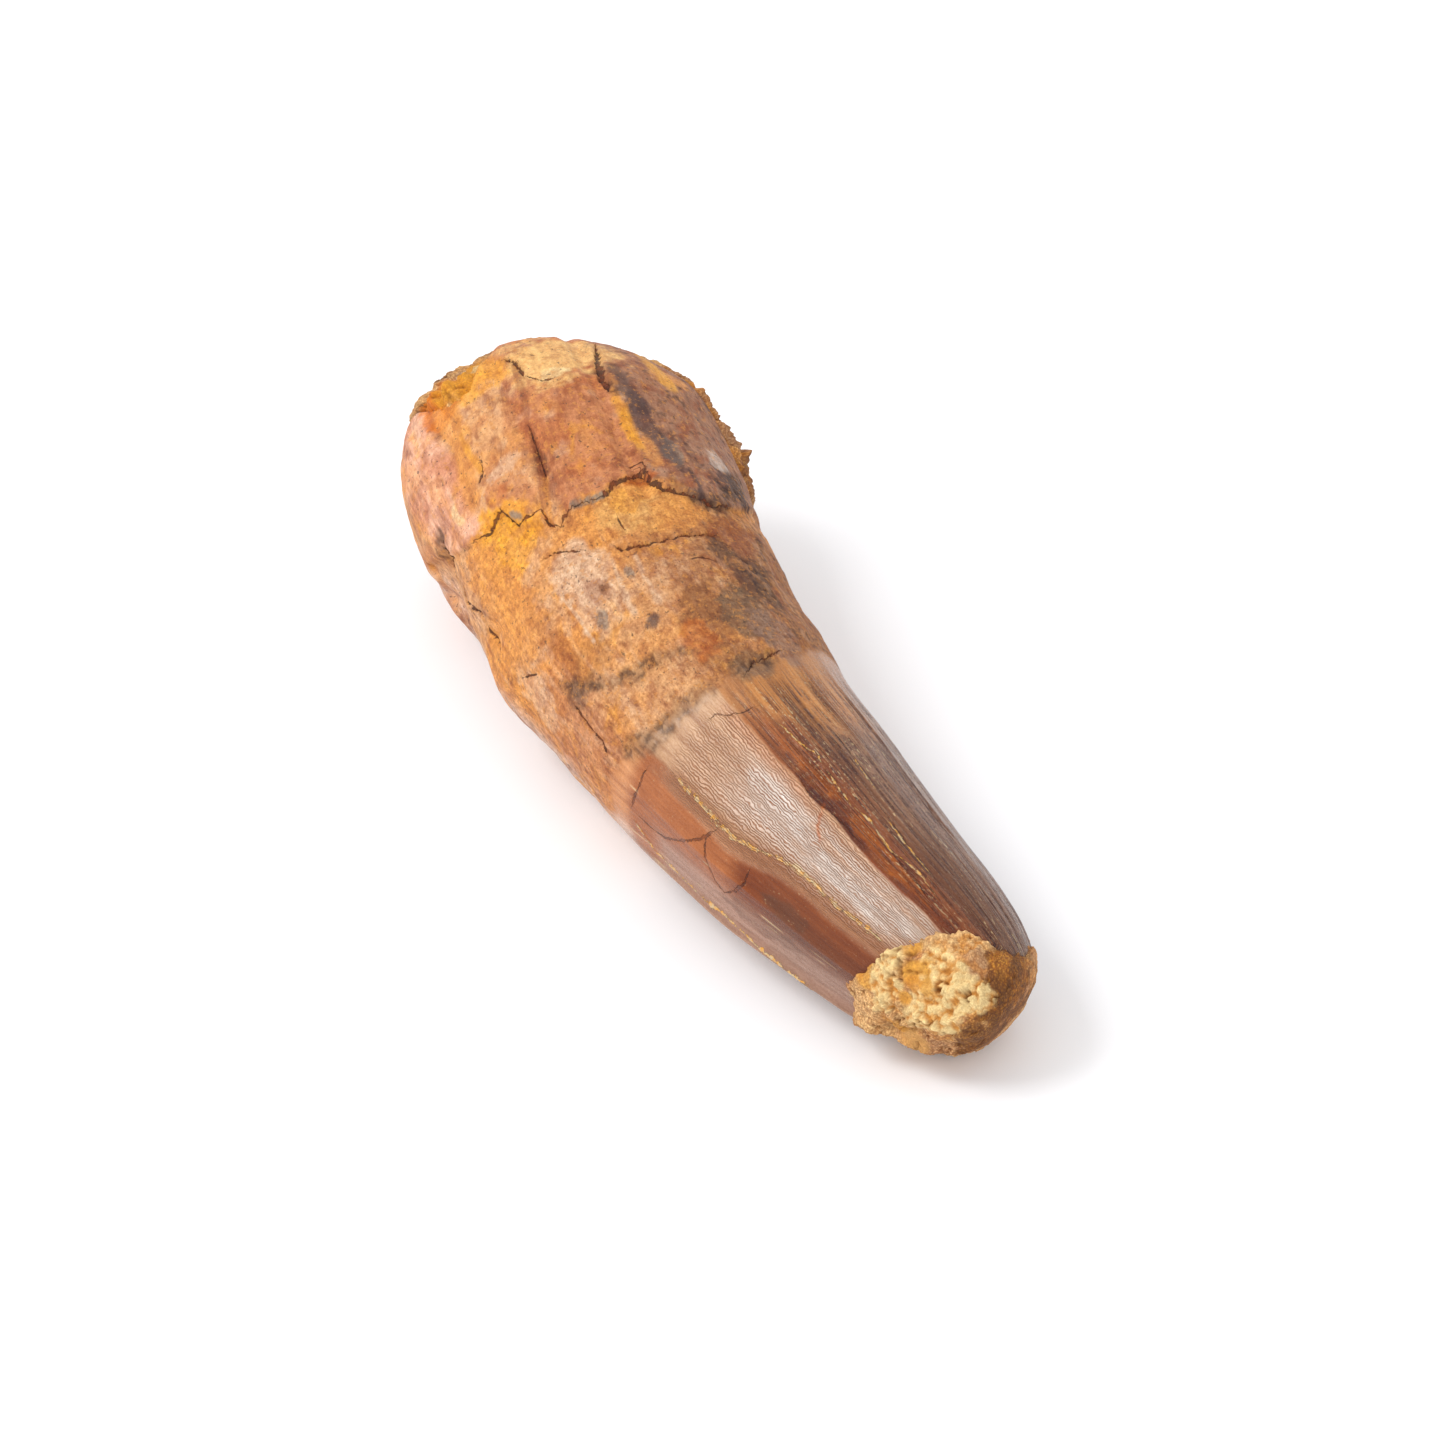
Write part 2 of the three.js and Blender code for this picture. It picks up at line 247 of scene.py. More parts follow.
def skin(along, angle, lift=0.0):
    """Points of the skin, lifted outwards by "lift" mm."""
    along, angle = np.broadcast_arrays(np.asarray(along, float), np.asarray(angle, float))
    share = along / AXIS_LENGTH + 0.5
    slope = 2 * BEND_DEPTH * (share - BEND_LOWEST) / AXIS_LENGTH
    width = half_width(along)
    opened = round_end(along + AXIS_LENGTH / 2, ROOT_END) * round_end(AXIS_LENGTH / 2 - along, TIP_END)
    turn = np.radians(angle)
    out = relief(along, angle, width) + lift
    side = (width + out) * opened * np.cos(turn)
    rise = (width * HEIGHT_TO_WIDTH + out) * opened * np.sin(turn)
    lean = 0
    for end, nearness in ((ROOT_END, share), (TIP_END, 1 - share)):
        fade = np.clip(1 - nearness / end["lean_share"], 0, 1) * opened
        lean += fade * (end["lean_side"] * np.cos(turn) + end["lean_top"] * np.sin(turn))
    across = 1 / np.hypot(1, slope)
    return np.stack([
        along - side * slope * across + lean - MIDDLE_X,
        BEND_OFFSET + BEND_DEPTH * (share - BEND_LOWEST) ** 2 + side * across - MIDDLE_Y,
        np.maximum(width * HEIGHT_TO_WIDTH - SETTLE + rise, 0),
    ], -1)


def straightened(along, angle):
    """Places on the tooth as if it were a straight round rod, in mm."""
    turn = np.radians(angle)
    return np.stack([along, MEAN_RADIUS * np.cos(turn), MEAN_RADIUS * np.sin(turn)], -1)


def unrolled(along, angle):
    """Places on the tooth as if its skin were rolled out flat, in mm."""
    return np.stack([along, MEAN_RADIUS * np.radians(angle), 0 * along], -1)


# ---- Camera ----
def camera_axes():
    """The camera's place in mm and its right, up and back directions."""
    azimuth, elevation = math.radians(CAMERA_AZIMUTH), math.radians(CAMERA_ELEVATION)
    back = np.array([
        math.sin(azimuth) * math.cos(elevation),
        -math.cos(azimuth) * math.cos(elevation),
        math.sin(elevation),
    ])
    right = np.array([math.cos(azimuth), math.sin(azimuth), 0])
    return np.array(CAMERA_TARGET) + back * CAMERA_DISTANCE, right, np.cross(back, right), back


def to_pixels(points):
    """Where points in mm land in the photograph."""
    place, right, up, back = camera_axes()
    away = points - place
    scale = FOCAL_LENGTH / SENSOR * PHOTO_SIZE / -(away @ back)
    return np.stack([PHOTO_SIZE / 2 + scale * (away @ right), PHOTO_SIZE / 2 - scale * (away @ up)], -1)


def make_camera():
    place, right, up, back = camera_axes()
    data = bpy.data.cameras.new("camera")
    data.lens, data.sensor_width = FOCAL_LENGTH, SENSOR
    data.clip_start, data.clip_end = CLIPPING
    camera = bpy.data.objects.new("camera", data)
    bpy.context.collection.objects.link(camera)
    rows = [(right[i], up[i], back[i], place[i] * MM) for i in range(3)]
    camera.matrix_world = Matrix(rows + [(0, 0, 0, 1)])
    bpy.context.scene.camera = camera


# ---- Meshes ----
FIELD_KINDS = {1: ("FLOAT", "value"), 3: ("FLOAT_VECTOR", "vector"), 4: ("FLOAT_COLOR", "color")}
END_FACE_RINGS = 6


def end_face(rim, depth):
    """Rings from inside a rim to its middle, and the middle, "depth" mm further along X."""
    middle = rim.mean(axis=0)
    rings = []
    for size in np.linspace(1, 0, END_FACE_RINGS + 1)[1:-1]:
        ring = middle + (rim - middle) * size
        ring[:, 0] += depth * (1 - size ** 2)
        rings.append(ring)
    return rings, middle + np.array([depth, 0, 0])


def make_mesh(name, rings, start, end, fields):
    """One closed body of rings in order from -X to +X. Its start and its end are each the rings
    that close it, from the rim inwards, and a pole. A field goes on over them unchanged."""
    row_count, sides, _ = rings.shape
    body = np.concatenate([start[0][::-1], rings, end[0]])
    points = np.concatenate([[start[1]], body.reshape(-1, 3), [end[1]]]) * MM
    at = 1 + np.arange(len(body) * sides).reshape(-1, sides)
    following = np.roll(at, -1, axis=1)
    quads = np.stack([at[:-1], following[:-1], following[1:], at[1:]], -1).reshape(-1, 4)
    first = np.stack([np.zeros(sides, int), following[0], at[0]], -1)
    last = np.stack([np.full(sides, len(points) - 1), at[-1], following[-1]], -1)
    mesh = bpy.data.meshes.new(name)
    mesh.from_pydata(points.tolist(), [], quads.tolist() + first.tolist() + last.tolist())
    mesh.shade_smooth()
    repeats = [1 + len(start[0])] + [1] * (row_count - 2) + [1 + len(end[0])]
    for field_name, values in fields.items():
        values = np.repeat(values, repeats, axis=0).reshape(len(body) * sides, -1)
        if field_name == "paint":
            values = np.c_[values, np.ones(len(values))]
        kind, slot = FIELD_KINDS[values.shape[1]]
        attribute = mesh.attributes.new(field_name, kind, "POINT")
        attribute.data.foreach_set(slot, np.concatenate([values[:1], values, values[-1:]]).ravel())
    mesh.validate()
    piece = bpy.data.objects.new(name, mesh)
    bpy.context.collection.objects.link(piece)
    return piece


class Shader:
    """Short ways to add and join the nodes of one material."""

    def __init__(self, name):
        self.material = bpy.data.materials.new(name)
        self.material.use_nodes = True
        self.tree = self.material.node_tree
        self.surface = self.tree.nodes["Principled BSDF"]

    def add(self, kind, inputs, **settings):
        """Adds a node. Inputs are numbers, colours or the outputs of other nodes, by socket."""
        node = self.tree.nodes.new(kind)
        for key, value in settings.items():
            setattr(node, key, value)
        for key, value in inputs.items():
            self.put(node, key, value)
        return node

    def put(self, node, key, value):
        if isinstance(value, bpy.types.NodeSocket):
            self.tree.links.new(value, node.inputs[key])
        else:
            is_colour = isinstance(value, np.ndarray)
            node.inputs[key].default_value = (*value, 1) if is_colour else value

    def field(self, name, output="Fac"):
        """A value that the mesh carries at its vertices."""
        return self.add("ShaderNodeAttribute", {}, attribute_name=name).outputs[output]

    def stretch(self, vector, share):
        """Draws a pattern out along the tooth by taking only a share of each step along it."""
        return self.add("ShaderNodeMapping", {"Vector": vector, "Scale": (share, 1, 1)}).outputs["Vector"]

    def noise(self, vector, scale, detail=3, rough=0.6):
        inputs = {"Vector": vector, "Scale": scale, "Detail": detail, "Roughness": rough}
        return self.add("ShaderNodeTexNoise", inputs).outputs["Fac"]

    def waves(self, vector, scale, distortion, detail):
        """Bands that run along X and wander."""
        inputs = {"Vector": vector, "Scale": scale, "Distortion": distortion, "Detail": detail}
        return self.add("ShaderNodeTexWave", inputs, bands_direction="Y").outputs["Fac"]

    def cells(self, vector, scale):
        """Packed grains: the distance to a grain's middle, and a random grey for each grain."""
        node = self.add("ShaderNodeTexVoronoi", {"Vector": vector, "Scale": scale})
        split = self.add("ShaderNodeSeparateColor", {"Color": node.outputs["Color"]})
        return node.outputs["Distance"], split.outputs["Red"]

    def ramp(self, value, start, stop, low=0, high=1):
        inputs = {"Value": value, "From Min": start, "From Max": stop, "To Min": low, "To Max": high}
        return self.add("ShaderNodeMapRange", inputs).outputs["Result"]

    def maths(self, operation, a, b):
        return self.add("ShaderNodeMath", {0: a, 1: b}, operation=operation).outputs[0]

    def times(self, a, b):
        return self.maths("MULTIPLY", a, b)

    def mix(self, share, a, b, blend="MIX"):
        node = self.add("ShaderNodeMix", {0: share, 6: a, 7: b}, data_type="RGBA", blend_type=blend)
        return node.outputs[2]

    def tinted(self, colour, value, share, depth):
        """The colour, warmer and darker where the value is low and lighter where it is high."""
        dark, light = 1 - depth * TINT_DARK, 1 + depth * TINT_LIGHT
        return self.mix(share, colour, self.mix(value, dark, light), "MULTIPLY")

    def drawn_lines(self, name, wiggle, crumbs):
        """1 on the lines of a field from Lines, 0 beside them, with crumbly edges."""
        vector = self.add("ShaderNodeSeparateXYZ", {0: self.field(name, "Vector")}).outputs
        sideways = self.ramp(wiggle, 0.2, 0.8, -0.1, 0.1)
        off = self.maths("ABSOLUTE", self.maths("ADD", vector["X"], sideways), 0)
        return self.ramp(self.maths("SUBTRACT", self.times(vector["Y"], crumbs), off), -0.03, 0.03)

    def thin_lines(self, value, reach):
        """1 where a noise passes through its middle value, and 0 beyond the reach."""
        away = self.maths("ABSOLUTE", self.maths("SUBTRACT", value, 0.5), 0)
        return self.ramp(away, 0, reach, 1, 0)

    def bumps(self, *rows):
        """A normal that is bent by each row's height in turn: a value, its size in mm, a strength."""
        before = {}
        for height, size, strength in rows:
            inputs = {"Height": height, "Distance": size * MM, "Strength": strength}
            before = {"Normal": self.add("ShaderNodeBump", {**inputs, **before}).outputs["Normal"]}
        return before["Normal"]

    def finish(self, **inputs):
        for key, value in inputs.items():
            self.put(self.surface, key.replace("_", " "), value)
        return self.material


# ---- What the photograph shows, in its pixels ----
LEDGE_PATH = [
    (471, 542), (487, 534), (498, 510), (506, 515), (519, 525), (541, 509), (545, 524), (557, 526),
    (565, 513), (573, 503), (592, 498), (608, 491), (613, 482), (629, 475), (641, 470), (653, 481),
    (664, 487), (683, 491), (701, 497), (715, 505), (728, 506),
]
CRACKS = [  # a path, its half width in mm and its depth in mm
    ([(543, 561), (554, 553), (567, 551), (585, 550)], 0.16, 0.35),
    ([(613, 545), (621, 550), (648, 544), (675, 537), (707, 533), (726, 536)], 0.16, 0.4),
    ([(503, 361), (512, 360), (519, 368), (522, 376)], 0.24, 0.4),
    ([(595, 343), (598, 360), (603, 380), (609, 391)], 0.36, 0.5),
    ([(524, 375), (541, 380), (555, 377)], 0.15, 0.2),
    ([(528, 425), (536, 447), (543, 466), (547, 478)], 0.14, 0.2),
    ([(464, 588), (468, 603), (482, 615), (492, 633), (502, 653)], 0.22, 0.35),
    ([(523, 677), (536, 674)], 0.15, 0.3),
    ([(573, 703), (586, 722), (602, 741), (609, 758)], 0.2, 0.2),
    ([(710, 719), (715, 713), (732, 715), (746, 712), (755, 707)], 0.07, 0.1),
    ([(481, 462), (482, 474), (478, 484)], 0.18, 0.2),
    ([(441, 536), (447, 550), (452, 566), (460, 584)], 0.16, 0.3),
    ([(690, 559), (703, 557), (716, 562)], 0.1, 0.1),
    ([(744, 676), (752, 664), (768, 655), (784, 650)], 0.08, 0.3),
    ([(638, 814), (652, 829), (664, 837), (680, 841), (700, 840), (718, 828)], 0.17, 0.05),
    ([(707, 838), (706, 854), (709, 868), (715, 882), (724, 892), (735, 892), (744, 882),
      (750, 870)], 0.17, 0.05),
    ([(648, 769), (641, 778), (637, 789), (632, 808)], 0.12, 0.05),
    ([(627, 466), (641, 460), (652, 478)], 0.1, 0.2),
    ([(617, 517), (623, 528)], 0.15, 0.1),
    ([(928, 804), (936, 815), (948, 830), (953, 836)], 0.12, 0.4),
]
GREY_FILLS = [[(512, 515), (521, 518)], [(573, 503), (584, 500), (592, 498), (602, 494)]]
SAND_LINE = [
    (673, 775), (699, 800), (718, 820), (732, 836), (755, 850), (777, 859), (794, 867), (814, 881),
    (833, 901), (853, 918), (887, 946),
]
WHITE_RIGHT = [
    (760, 738), (777, 758), (794, 775), (816, 803), (833, 814), (853, 842), (872, 864), (900, 893),
    (923, 912), (940, 932),
]
WHITE_LEFT = [
    (704, 775), (732, 814), (760, 836), (788, 859), (816, 878), (844, 906), (872, 932), (895, 946),
]
PALE_LINES = [
    [(777, 721), (799, 741), (816, 755), (822, 763)],
    [(826, 770), (840, 790), (852, 806)],
    [(853, 806), (872, 822), (889, 848), (917, 870), (937, 895)],
    [(886, 818), (905, 841), (918, 858), (932, 874)],
    [(846, 745), (862, 770), (880, 794)],
]
DARK_LINES = [
    [(800, 778), (812, 796), (828, 808), (846, 826), (864, 846)],
    [(876, 828), (893, 852), (912, 876), (930, 900)],
    [(832, 730), (850, 754), (868, 778)],
    [(868, 792), (890, 820), (910, 846)],
]
KEEL_LINE = [
    (634, 820), (656, 850), (682, 878), (704, 898), (727, 915), (749, 937), (777, 963), (800, 980),
    (816, 991),
]
DARK_BANDS = [  # a path and its half width in mm
    ([(562, 684), (573, 690), (594, 679), (637, 674), (664, 657), (691, 653)], 0.6),
    ([(631, 752), (640, 743), (662, 732), (676, 716), (698, 693)], 1.1),
    ([(700, 497), (712, 501), (722, 504), (733, 493), (741, 480)], 1.1),
    ([(533, 438), (540, 456), (547, 474)], 0.5),
    ([(600, 374), (606, 384), (611, 392)], 0.6),
    ([(440, 536), (445, 548), (448, 560)], 0.6),
    ([(738, 672), (752, 668), (766, 658)], 1.1),
    ([(722, 548), (742, 560), (757, 574), (768, 596)], 0.9),
]
# Colours as seen on screen.
CREAM = seen(255, 224, 166)
YELLOW = seen(252, 174, 66)
OCHRE = seen(244, 166, 88)
ORANGE = seen(234, 134, 14)
RUST = seen(198, 104, 46)
PALE = seen(242, 202, 168)
PINK = seen(254, 192, 160)
TAN = seen(235, 176, 124)
SALMON = seen(214, 142, 98)
RED_BROWN = seen(158, 84, 52)
BROWN = seen(158, 104, 68)
PURPLE = seen(178, 130, 104)
SLATE = seen(96, 76, 76)
GREY = seen(160, 142, 126)
DARK = seen(66, 46, 36)
CRACK_DARK = seen(70, 46, 32)
AMBER = seen(138, 74, 24)
AMBER_DARK = seen(78, 40, 20)
CROWN_RED = seen(184, 112, 72)
CROWN_DARK = seen(112, 76, 60)
# Grey enamel by the crown's right outline, lightened with a painted sheen: the white that glossy enamel
# mirrors there.
CROWN_EDGE_GREY_AND_SHEEN = seen(168, 136, 122)
# Lavender-grey with a painted sheen, for the lower left of the crown by the keel.
LAVENDER_AND_SHEEN = seen(188, 154, 138)
MATTE = seen(214, 168, 130)
WRINKLED = seen(212, 164, 130)
# Pale enamel with a painted reflection of the studio light on it, also laid as a painted highlight on a
# root plate.
PALE_AND_HIGHLIGHT = seen(228, 204, 188)
AMBER_GLOW = seen(186, 104, 42)
TOP_PLATE = seen(252, 200, 130)
GREY_BROWN = seen(164, 130, 112)
SANDSTONE = seen(240, 190, 130)
BROWN_SAND = seen(140, 90, 44)
RUSTY_SAND = seen(246, 168, 76)
EARTH = seen(214, 158, 112)
HONEY = seen(252, 182, 84)
# The amber of the painted shade in the sandstone's hollows.
AMBER_SAND = seen(236, 150, 36)
PINK_SAND = seen(224, 172, 126)
FACET_SAND = seen(240, 180, 108)
CREAM_SAND = 1.2 * seen(255, 223, 160)
WARM_BROWN = seen(200, 138, 92)
WRINKLED_BROWN = seen(178, 120, 86)
PALE_SAND = seen(238, 208, 160)
# The white of a painted highlight along the wrinkled facet.
WHITE = seen(248, 238, 230)
UNDERSIDE = seen(232, 214, 206)
CROWN_UNDERSIDE = seen(174, 144, 128)
RICH_BROWN = seen(206, 140, 84)
NECK_GREY = seen(136, 106, 82)
TOP_SAND = 1.1 * seen(255, 206, 144)

# Broad zones: angles from and to, along from and to, softness in mm, a colour and a strength.
PLATE_ZONES = [
    (80, 116, -50, 0, 0.5, SALMON, 1),
    (116, 146, -50, 0, 0.5, TAN, 0.9),
    (146, 176, -50, 0, 0.6, PINK, 0.9),
    (176, 210, -50, 0, 1.5, TAN, 0.8),
    (210, 264, -50, 0, 1.5, SALMON, 0.8),
    (264, 324, -50, 0, 1.5, TAN, 0.6),
    (194, 320, -50, 0, 2, UNDERSIDE, 0.75),
    (-40, 80, -50, 0, 0.6, PURPLE, 0.95),
]
NECK_ZONES = [
    (92, 136, -9, 10, 3, TAN, 0.6),
    (-60, 78, -14, 12, 5, BROWN, 0.8),
    (66, 100, -12, 10, 3, WARM_BROWN, 0.7),
    (152, 200, -6, 12, 3, SALMON, 0.7),
    (194, 320, -30, 12, 2.5, UNDERSIDE, 0.7),
]
CROWN_ZONES = [
    (-80, 112, 8, 70, 4, WARM_BROWN, 0.9),
    (-80, 112, 18, 70, 5, BROWN, 0.8),
    (88, 116, 12, 60, 3, CROWN_RED, 0.7),
    (-80, 82, 17, 70, 5, GREY_BROWN, 0.9),
    (34, 92, 6, 19, 4, RICH_BROWN, 0.9),
    (62, 94, 32, 70, 5, CROWN_DARK, 0.85),
    # Painted sheen: the crown lightens and greys towards its right outline.
    (-80, 46, 9, 70, 4, CROWN_EDGE_GREY_AND_SHEEN, 0.85),
    (-80, 28, 4, 70, 2, CROWN_EDGE_GREY_AND_SHEEN, 0.85),
    (90, 118, 16, 60, 2.5, AMBER, 1),
    (144, 204, 8, 60, 0.8, CROWN_RED, 1),
    (146, 178, 22, 60, 1.5, AMBER, 0.95),
    (160, 200, 27, 60, 3, CROWN_DARK, 0.6),
    # Painted sheen on the lower left of the crown.
    (180, 203, 12, 60, 1.5, LAVENDER_AND_SHEEN, 0.7),
    (204, 300, 8, 70, 3, CROWN_UNDERSIDE, 1),
]

# Patches of colour on the skin: the pixel in their middle, half their length along the tooth and
# half their width round it in mm, a colour and a strength.
PATCHES = [
    (552, 355, 4.6, 6.2, TOP_PLATE, 0.95),
    (553, 374, 0.8, 2, CREAM, 0.8),
    (478, 374, 2.5, 3, YELLOW, 0.9),
    (457, 394, 2.2, 2.4, HONEY, 0.9),
    (437, 403, 3, 3, ORANGE, 0.95),
    (458, 512, 1.2, 0.6, CREAM, 0.7),
    (455, 450, 7, 1.1, OCHRE, 0.7),
    (515, 498, 2, 2.6, SALMON, 0.7),
    (495, 495, 1.6, 1.6, RUST, 0.6),
    (505, 468, 0.8, 2.6, PALE, 0.6),
    (640, 478, 1, 1.8, RUST, 0.8),
    (544, 461, 1.2, 0.5, DARK, 0.7),
    (668, 378, 1.6, 2.4, OCHRE, 0.7),
    (636, 404, 1.6, 1.4, SLATE, 0.6),
    (672, 454, 2.4, 1, GREY, 0.8),
    (628, 425, 2.4, 0.8, YELLOW, 0.9),
    (613, 398, 1.6, 0.5, OCHRE, 0.9),
    (648, 450, 2.6, 0.9, OCHRE, 0.7),
    (732, 486, 3, 3, DARK, 0.85),
    (712, 500, 1.2, 2.2, DARK, 0.5),
    (502, 524, 1.6, 1.4, HONEY, 1),
    (506, 546, 4.2, 4.8, YELLOW, 1),
    (497, 590, 6, 3.4, OCHRE, 0.9),
    (522, 625, 5, 3.4, OCHRE, 0.8),
    (577, 537, 1.6, 5, OCHRE, 0.7),
    (637, 507, 3, 4.6, FACET_SAND, 0.9),
    (625, 500, 1.8, 2, YELLOW, 0.6),
    (680, 515, 2.4, 3, OCHRE, 0.7),
    (583, 572, 3.6, 3.4, PALE, 0.75),
    (597, 602, 3.6, 2.8, PALE, 0.5),
    (598, 588, 1.6, 1.4, RED_BROWN, 0.45),
    (604, 585, 0.6, 0.6, BROWN, 0.7),
    (602, 617, 1.2, 0.7, GREY, 0.8),
    (651, 619, 0.8, 0.9, SLATE, 0.8),
    (632, 569, 0.9, 0.6, GREY, 0.8),
    (560, 650, 4, 1.6, RED_BROWN, 0.45),
    (580, 690, 1.6, 2.6, DARK, 0.5),
    (736, 538, 4.5, 2.6, RED_BROWN, 0.55),
    (722, 549, 1.8, 1.6, DARK, 0.6),
    (746, 582, 2.6, 1.6, DARK, 0.65),
    (758, 570, 2, 1.4, DARK, 0.6),
    (770, 598, 2.2, 1.4, DARK, 0.55),
    (700, 602, 3.6, 2.6, BROWN, 0.85),
    (716, 620, 3.6, 2.2, BROWN, 0.6),
    (748, 616, 4.4, 3, NECK_GREY, 0.9),
    (778, 634, 4, 2.4, GREY_BROWN, 0.7),
    (722, 698, 3.4, 3, WARM_BROWN, 0.9),
    (782, 690, 5, 3, RICH_BROWN, 0.8),
    (704, 742, 3.5, 5, MATTE, 0.7),
    (822, 797, 2, 0.6, AMBER_DARK, 0.6),
    (846, 828, 2.6, 0.6, AMBER_DARK, 0.6),
    (878, 846, 5, 0.8, AMBER_GLOW, 0.8),
    (905, 880, 3, 0.6, AMBER_GLOW, 0.6),
    (812, 770, 4, 0.8, AMBER_GLOW, 0.6),
    (783, 912, 2.8, 1, CROWN_DARK, 0.6),
    (540, 700, 4, 2.4, PALE, 0.5),
    # A painted highlight on the purple plate.
    (720, 464, 1.8, 1.5, PALE_AND_HIGHLIGHT, 0.8),
    (645, 492, 1.2, 2.6, OCHRE, 0.7),
    (592, 655, 2.6, 2.6, BROWN, 0.35),
    (728, 652, 2.8, 3, BROWN, 0.6),
    (700, 640, 2.4, 2, RUST, 0.6),
    (752, 667, 2.2, 2.2, NECK_GREY, 0.7),
    (760, 922, 5, 1.6, CROWN_DARK, 0.45),
    (770, 742, 4, 3, CROWN_RED, 0.6),
]

STREAKS = [  # a path, its half width in mm, a colour and a strength
    ([(562, 596), (578, 618), (594, 639)], 0.16, PALE, 0.8),
    ([(613, 561), (624, 590), (633, 614)], 0.35, PALE, 0.7),
    ([(638, 557), (648, 580), (658, 601)], 0.3, PALE, 0.6),
    ([(460, 437), (468, 452), (480, 470)], 0.3, YELLOW, 0.7),
    ([(452, 400), (455, 430), (462, 470), (474, 505)], 0.7, OCHRE, 0.6),
    ([(547, 478), (548, 495), (550, 518)], 0.25, OCHRE, 0.7),
    ([(513, 364), (521, 394), (529, 425), (543, 466), (545, 506)], 0.35, RED_BROWN, 0.6),
    ([(612, 366), (624, 386), (636, 404), (646, 424), (664, 446), (680, 470)], 0.95, SLATE, 0.7),
    ([(614, 400), (628, 428), (640, 446)], 0.4, YELLOW, 0.7),
    ([(634, 354), (650, 364), (664, 378), (674, 390)], 0.7, HONEY, 0.8),
    ([(688, 470), (700, 485), (704, 500)], 0.35, SLATE, 0.7),
    ([(824, 803), (821, 815), (818, 828), (820, 842)], 0.12, RUST, 0.8),
    ([(795, 865), (822, 890)], 0.26, PALE_SAND, 0.9),
    # A painted highlight: a white streak along the middle of the wrinkled facet.
    ([(754, 777), (786, 811), (815, 852), (840, 880), (868, 903), (905, 930)], 0.8, WHITE, 0.35),
]

# The crown starts along this line. Pairs of angle and along.
ENAMEL_EDGE = [
    (0, 4), (36, 6), (60, 8), (79, 9), (92, 8), (104, 9), (119, 8.7), (134, 8.4), (145, 7.5),
    (156, 6.7), (168, 6), (204, 5), (250, 7), (300, 6), (360, 4),
]


# ---- From the photograph to the skin ----
SEARCHED_ALONG, SEARCHED_ANGLES = np.arange(-47, 47.2, 0.25), np.arange(0, 360, 0.5)


def visible_skin():
    """A fine grid of the skin that faces the camera: pixels, and where they are on the skin."""
    along, angle = np.meshgrid(SEARCHED_ALONG, SEARCHED_ANGLES, indexing="ij")
    points = skin(along, angle)
    normals = np.cross(np.gradient(points, axis=1), np.gradient(points, axis=0))
    facing = np.sum(normals * (camera_axes()[0] - points), -1) > 0
    return to_pixels(points)[facing], along[facing], angle[facing]


SEEN_PIXELS, SEEN_ALONG, SEEN_ANGLE = visible_skin()


def on_skin(pixels):
    """Where the given pixels lie on the skin, as (along, angle) pairs."""
    nearest = [np.argmin(np.sum((SEEN_PIXELS - pixel) ** 2, -1)) for pixel in pixels]
    return [(SEEN_ALONG[i], SEEN_ANGLE[i]) for i in nearest]


ROUGH_SIZE, FINE_SIZE = 3, 0.9  # in mm, of the noise that most borders follow
WANDERS = [(0.9, 4, 0), (0.35, 1.1, 6)]  # how far borders wander in mm, size in mm, noise shift


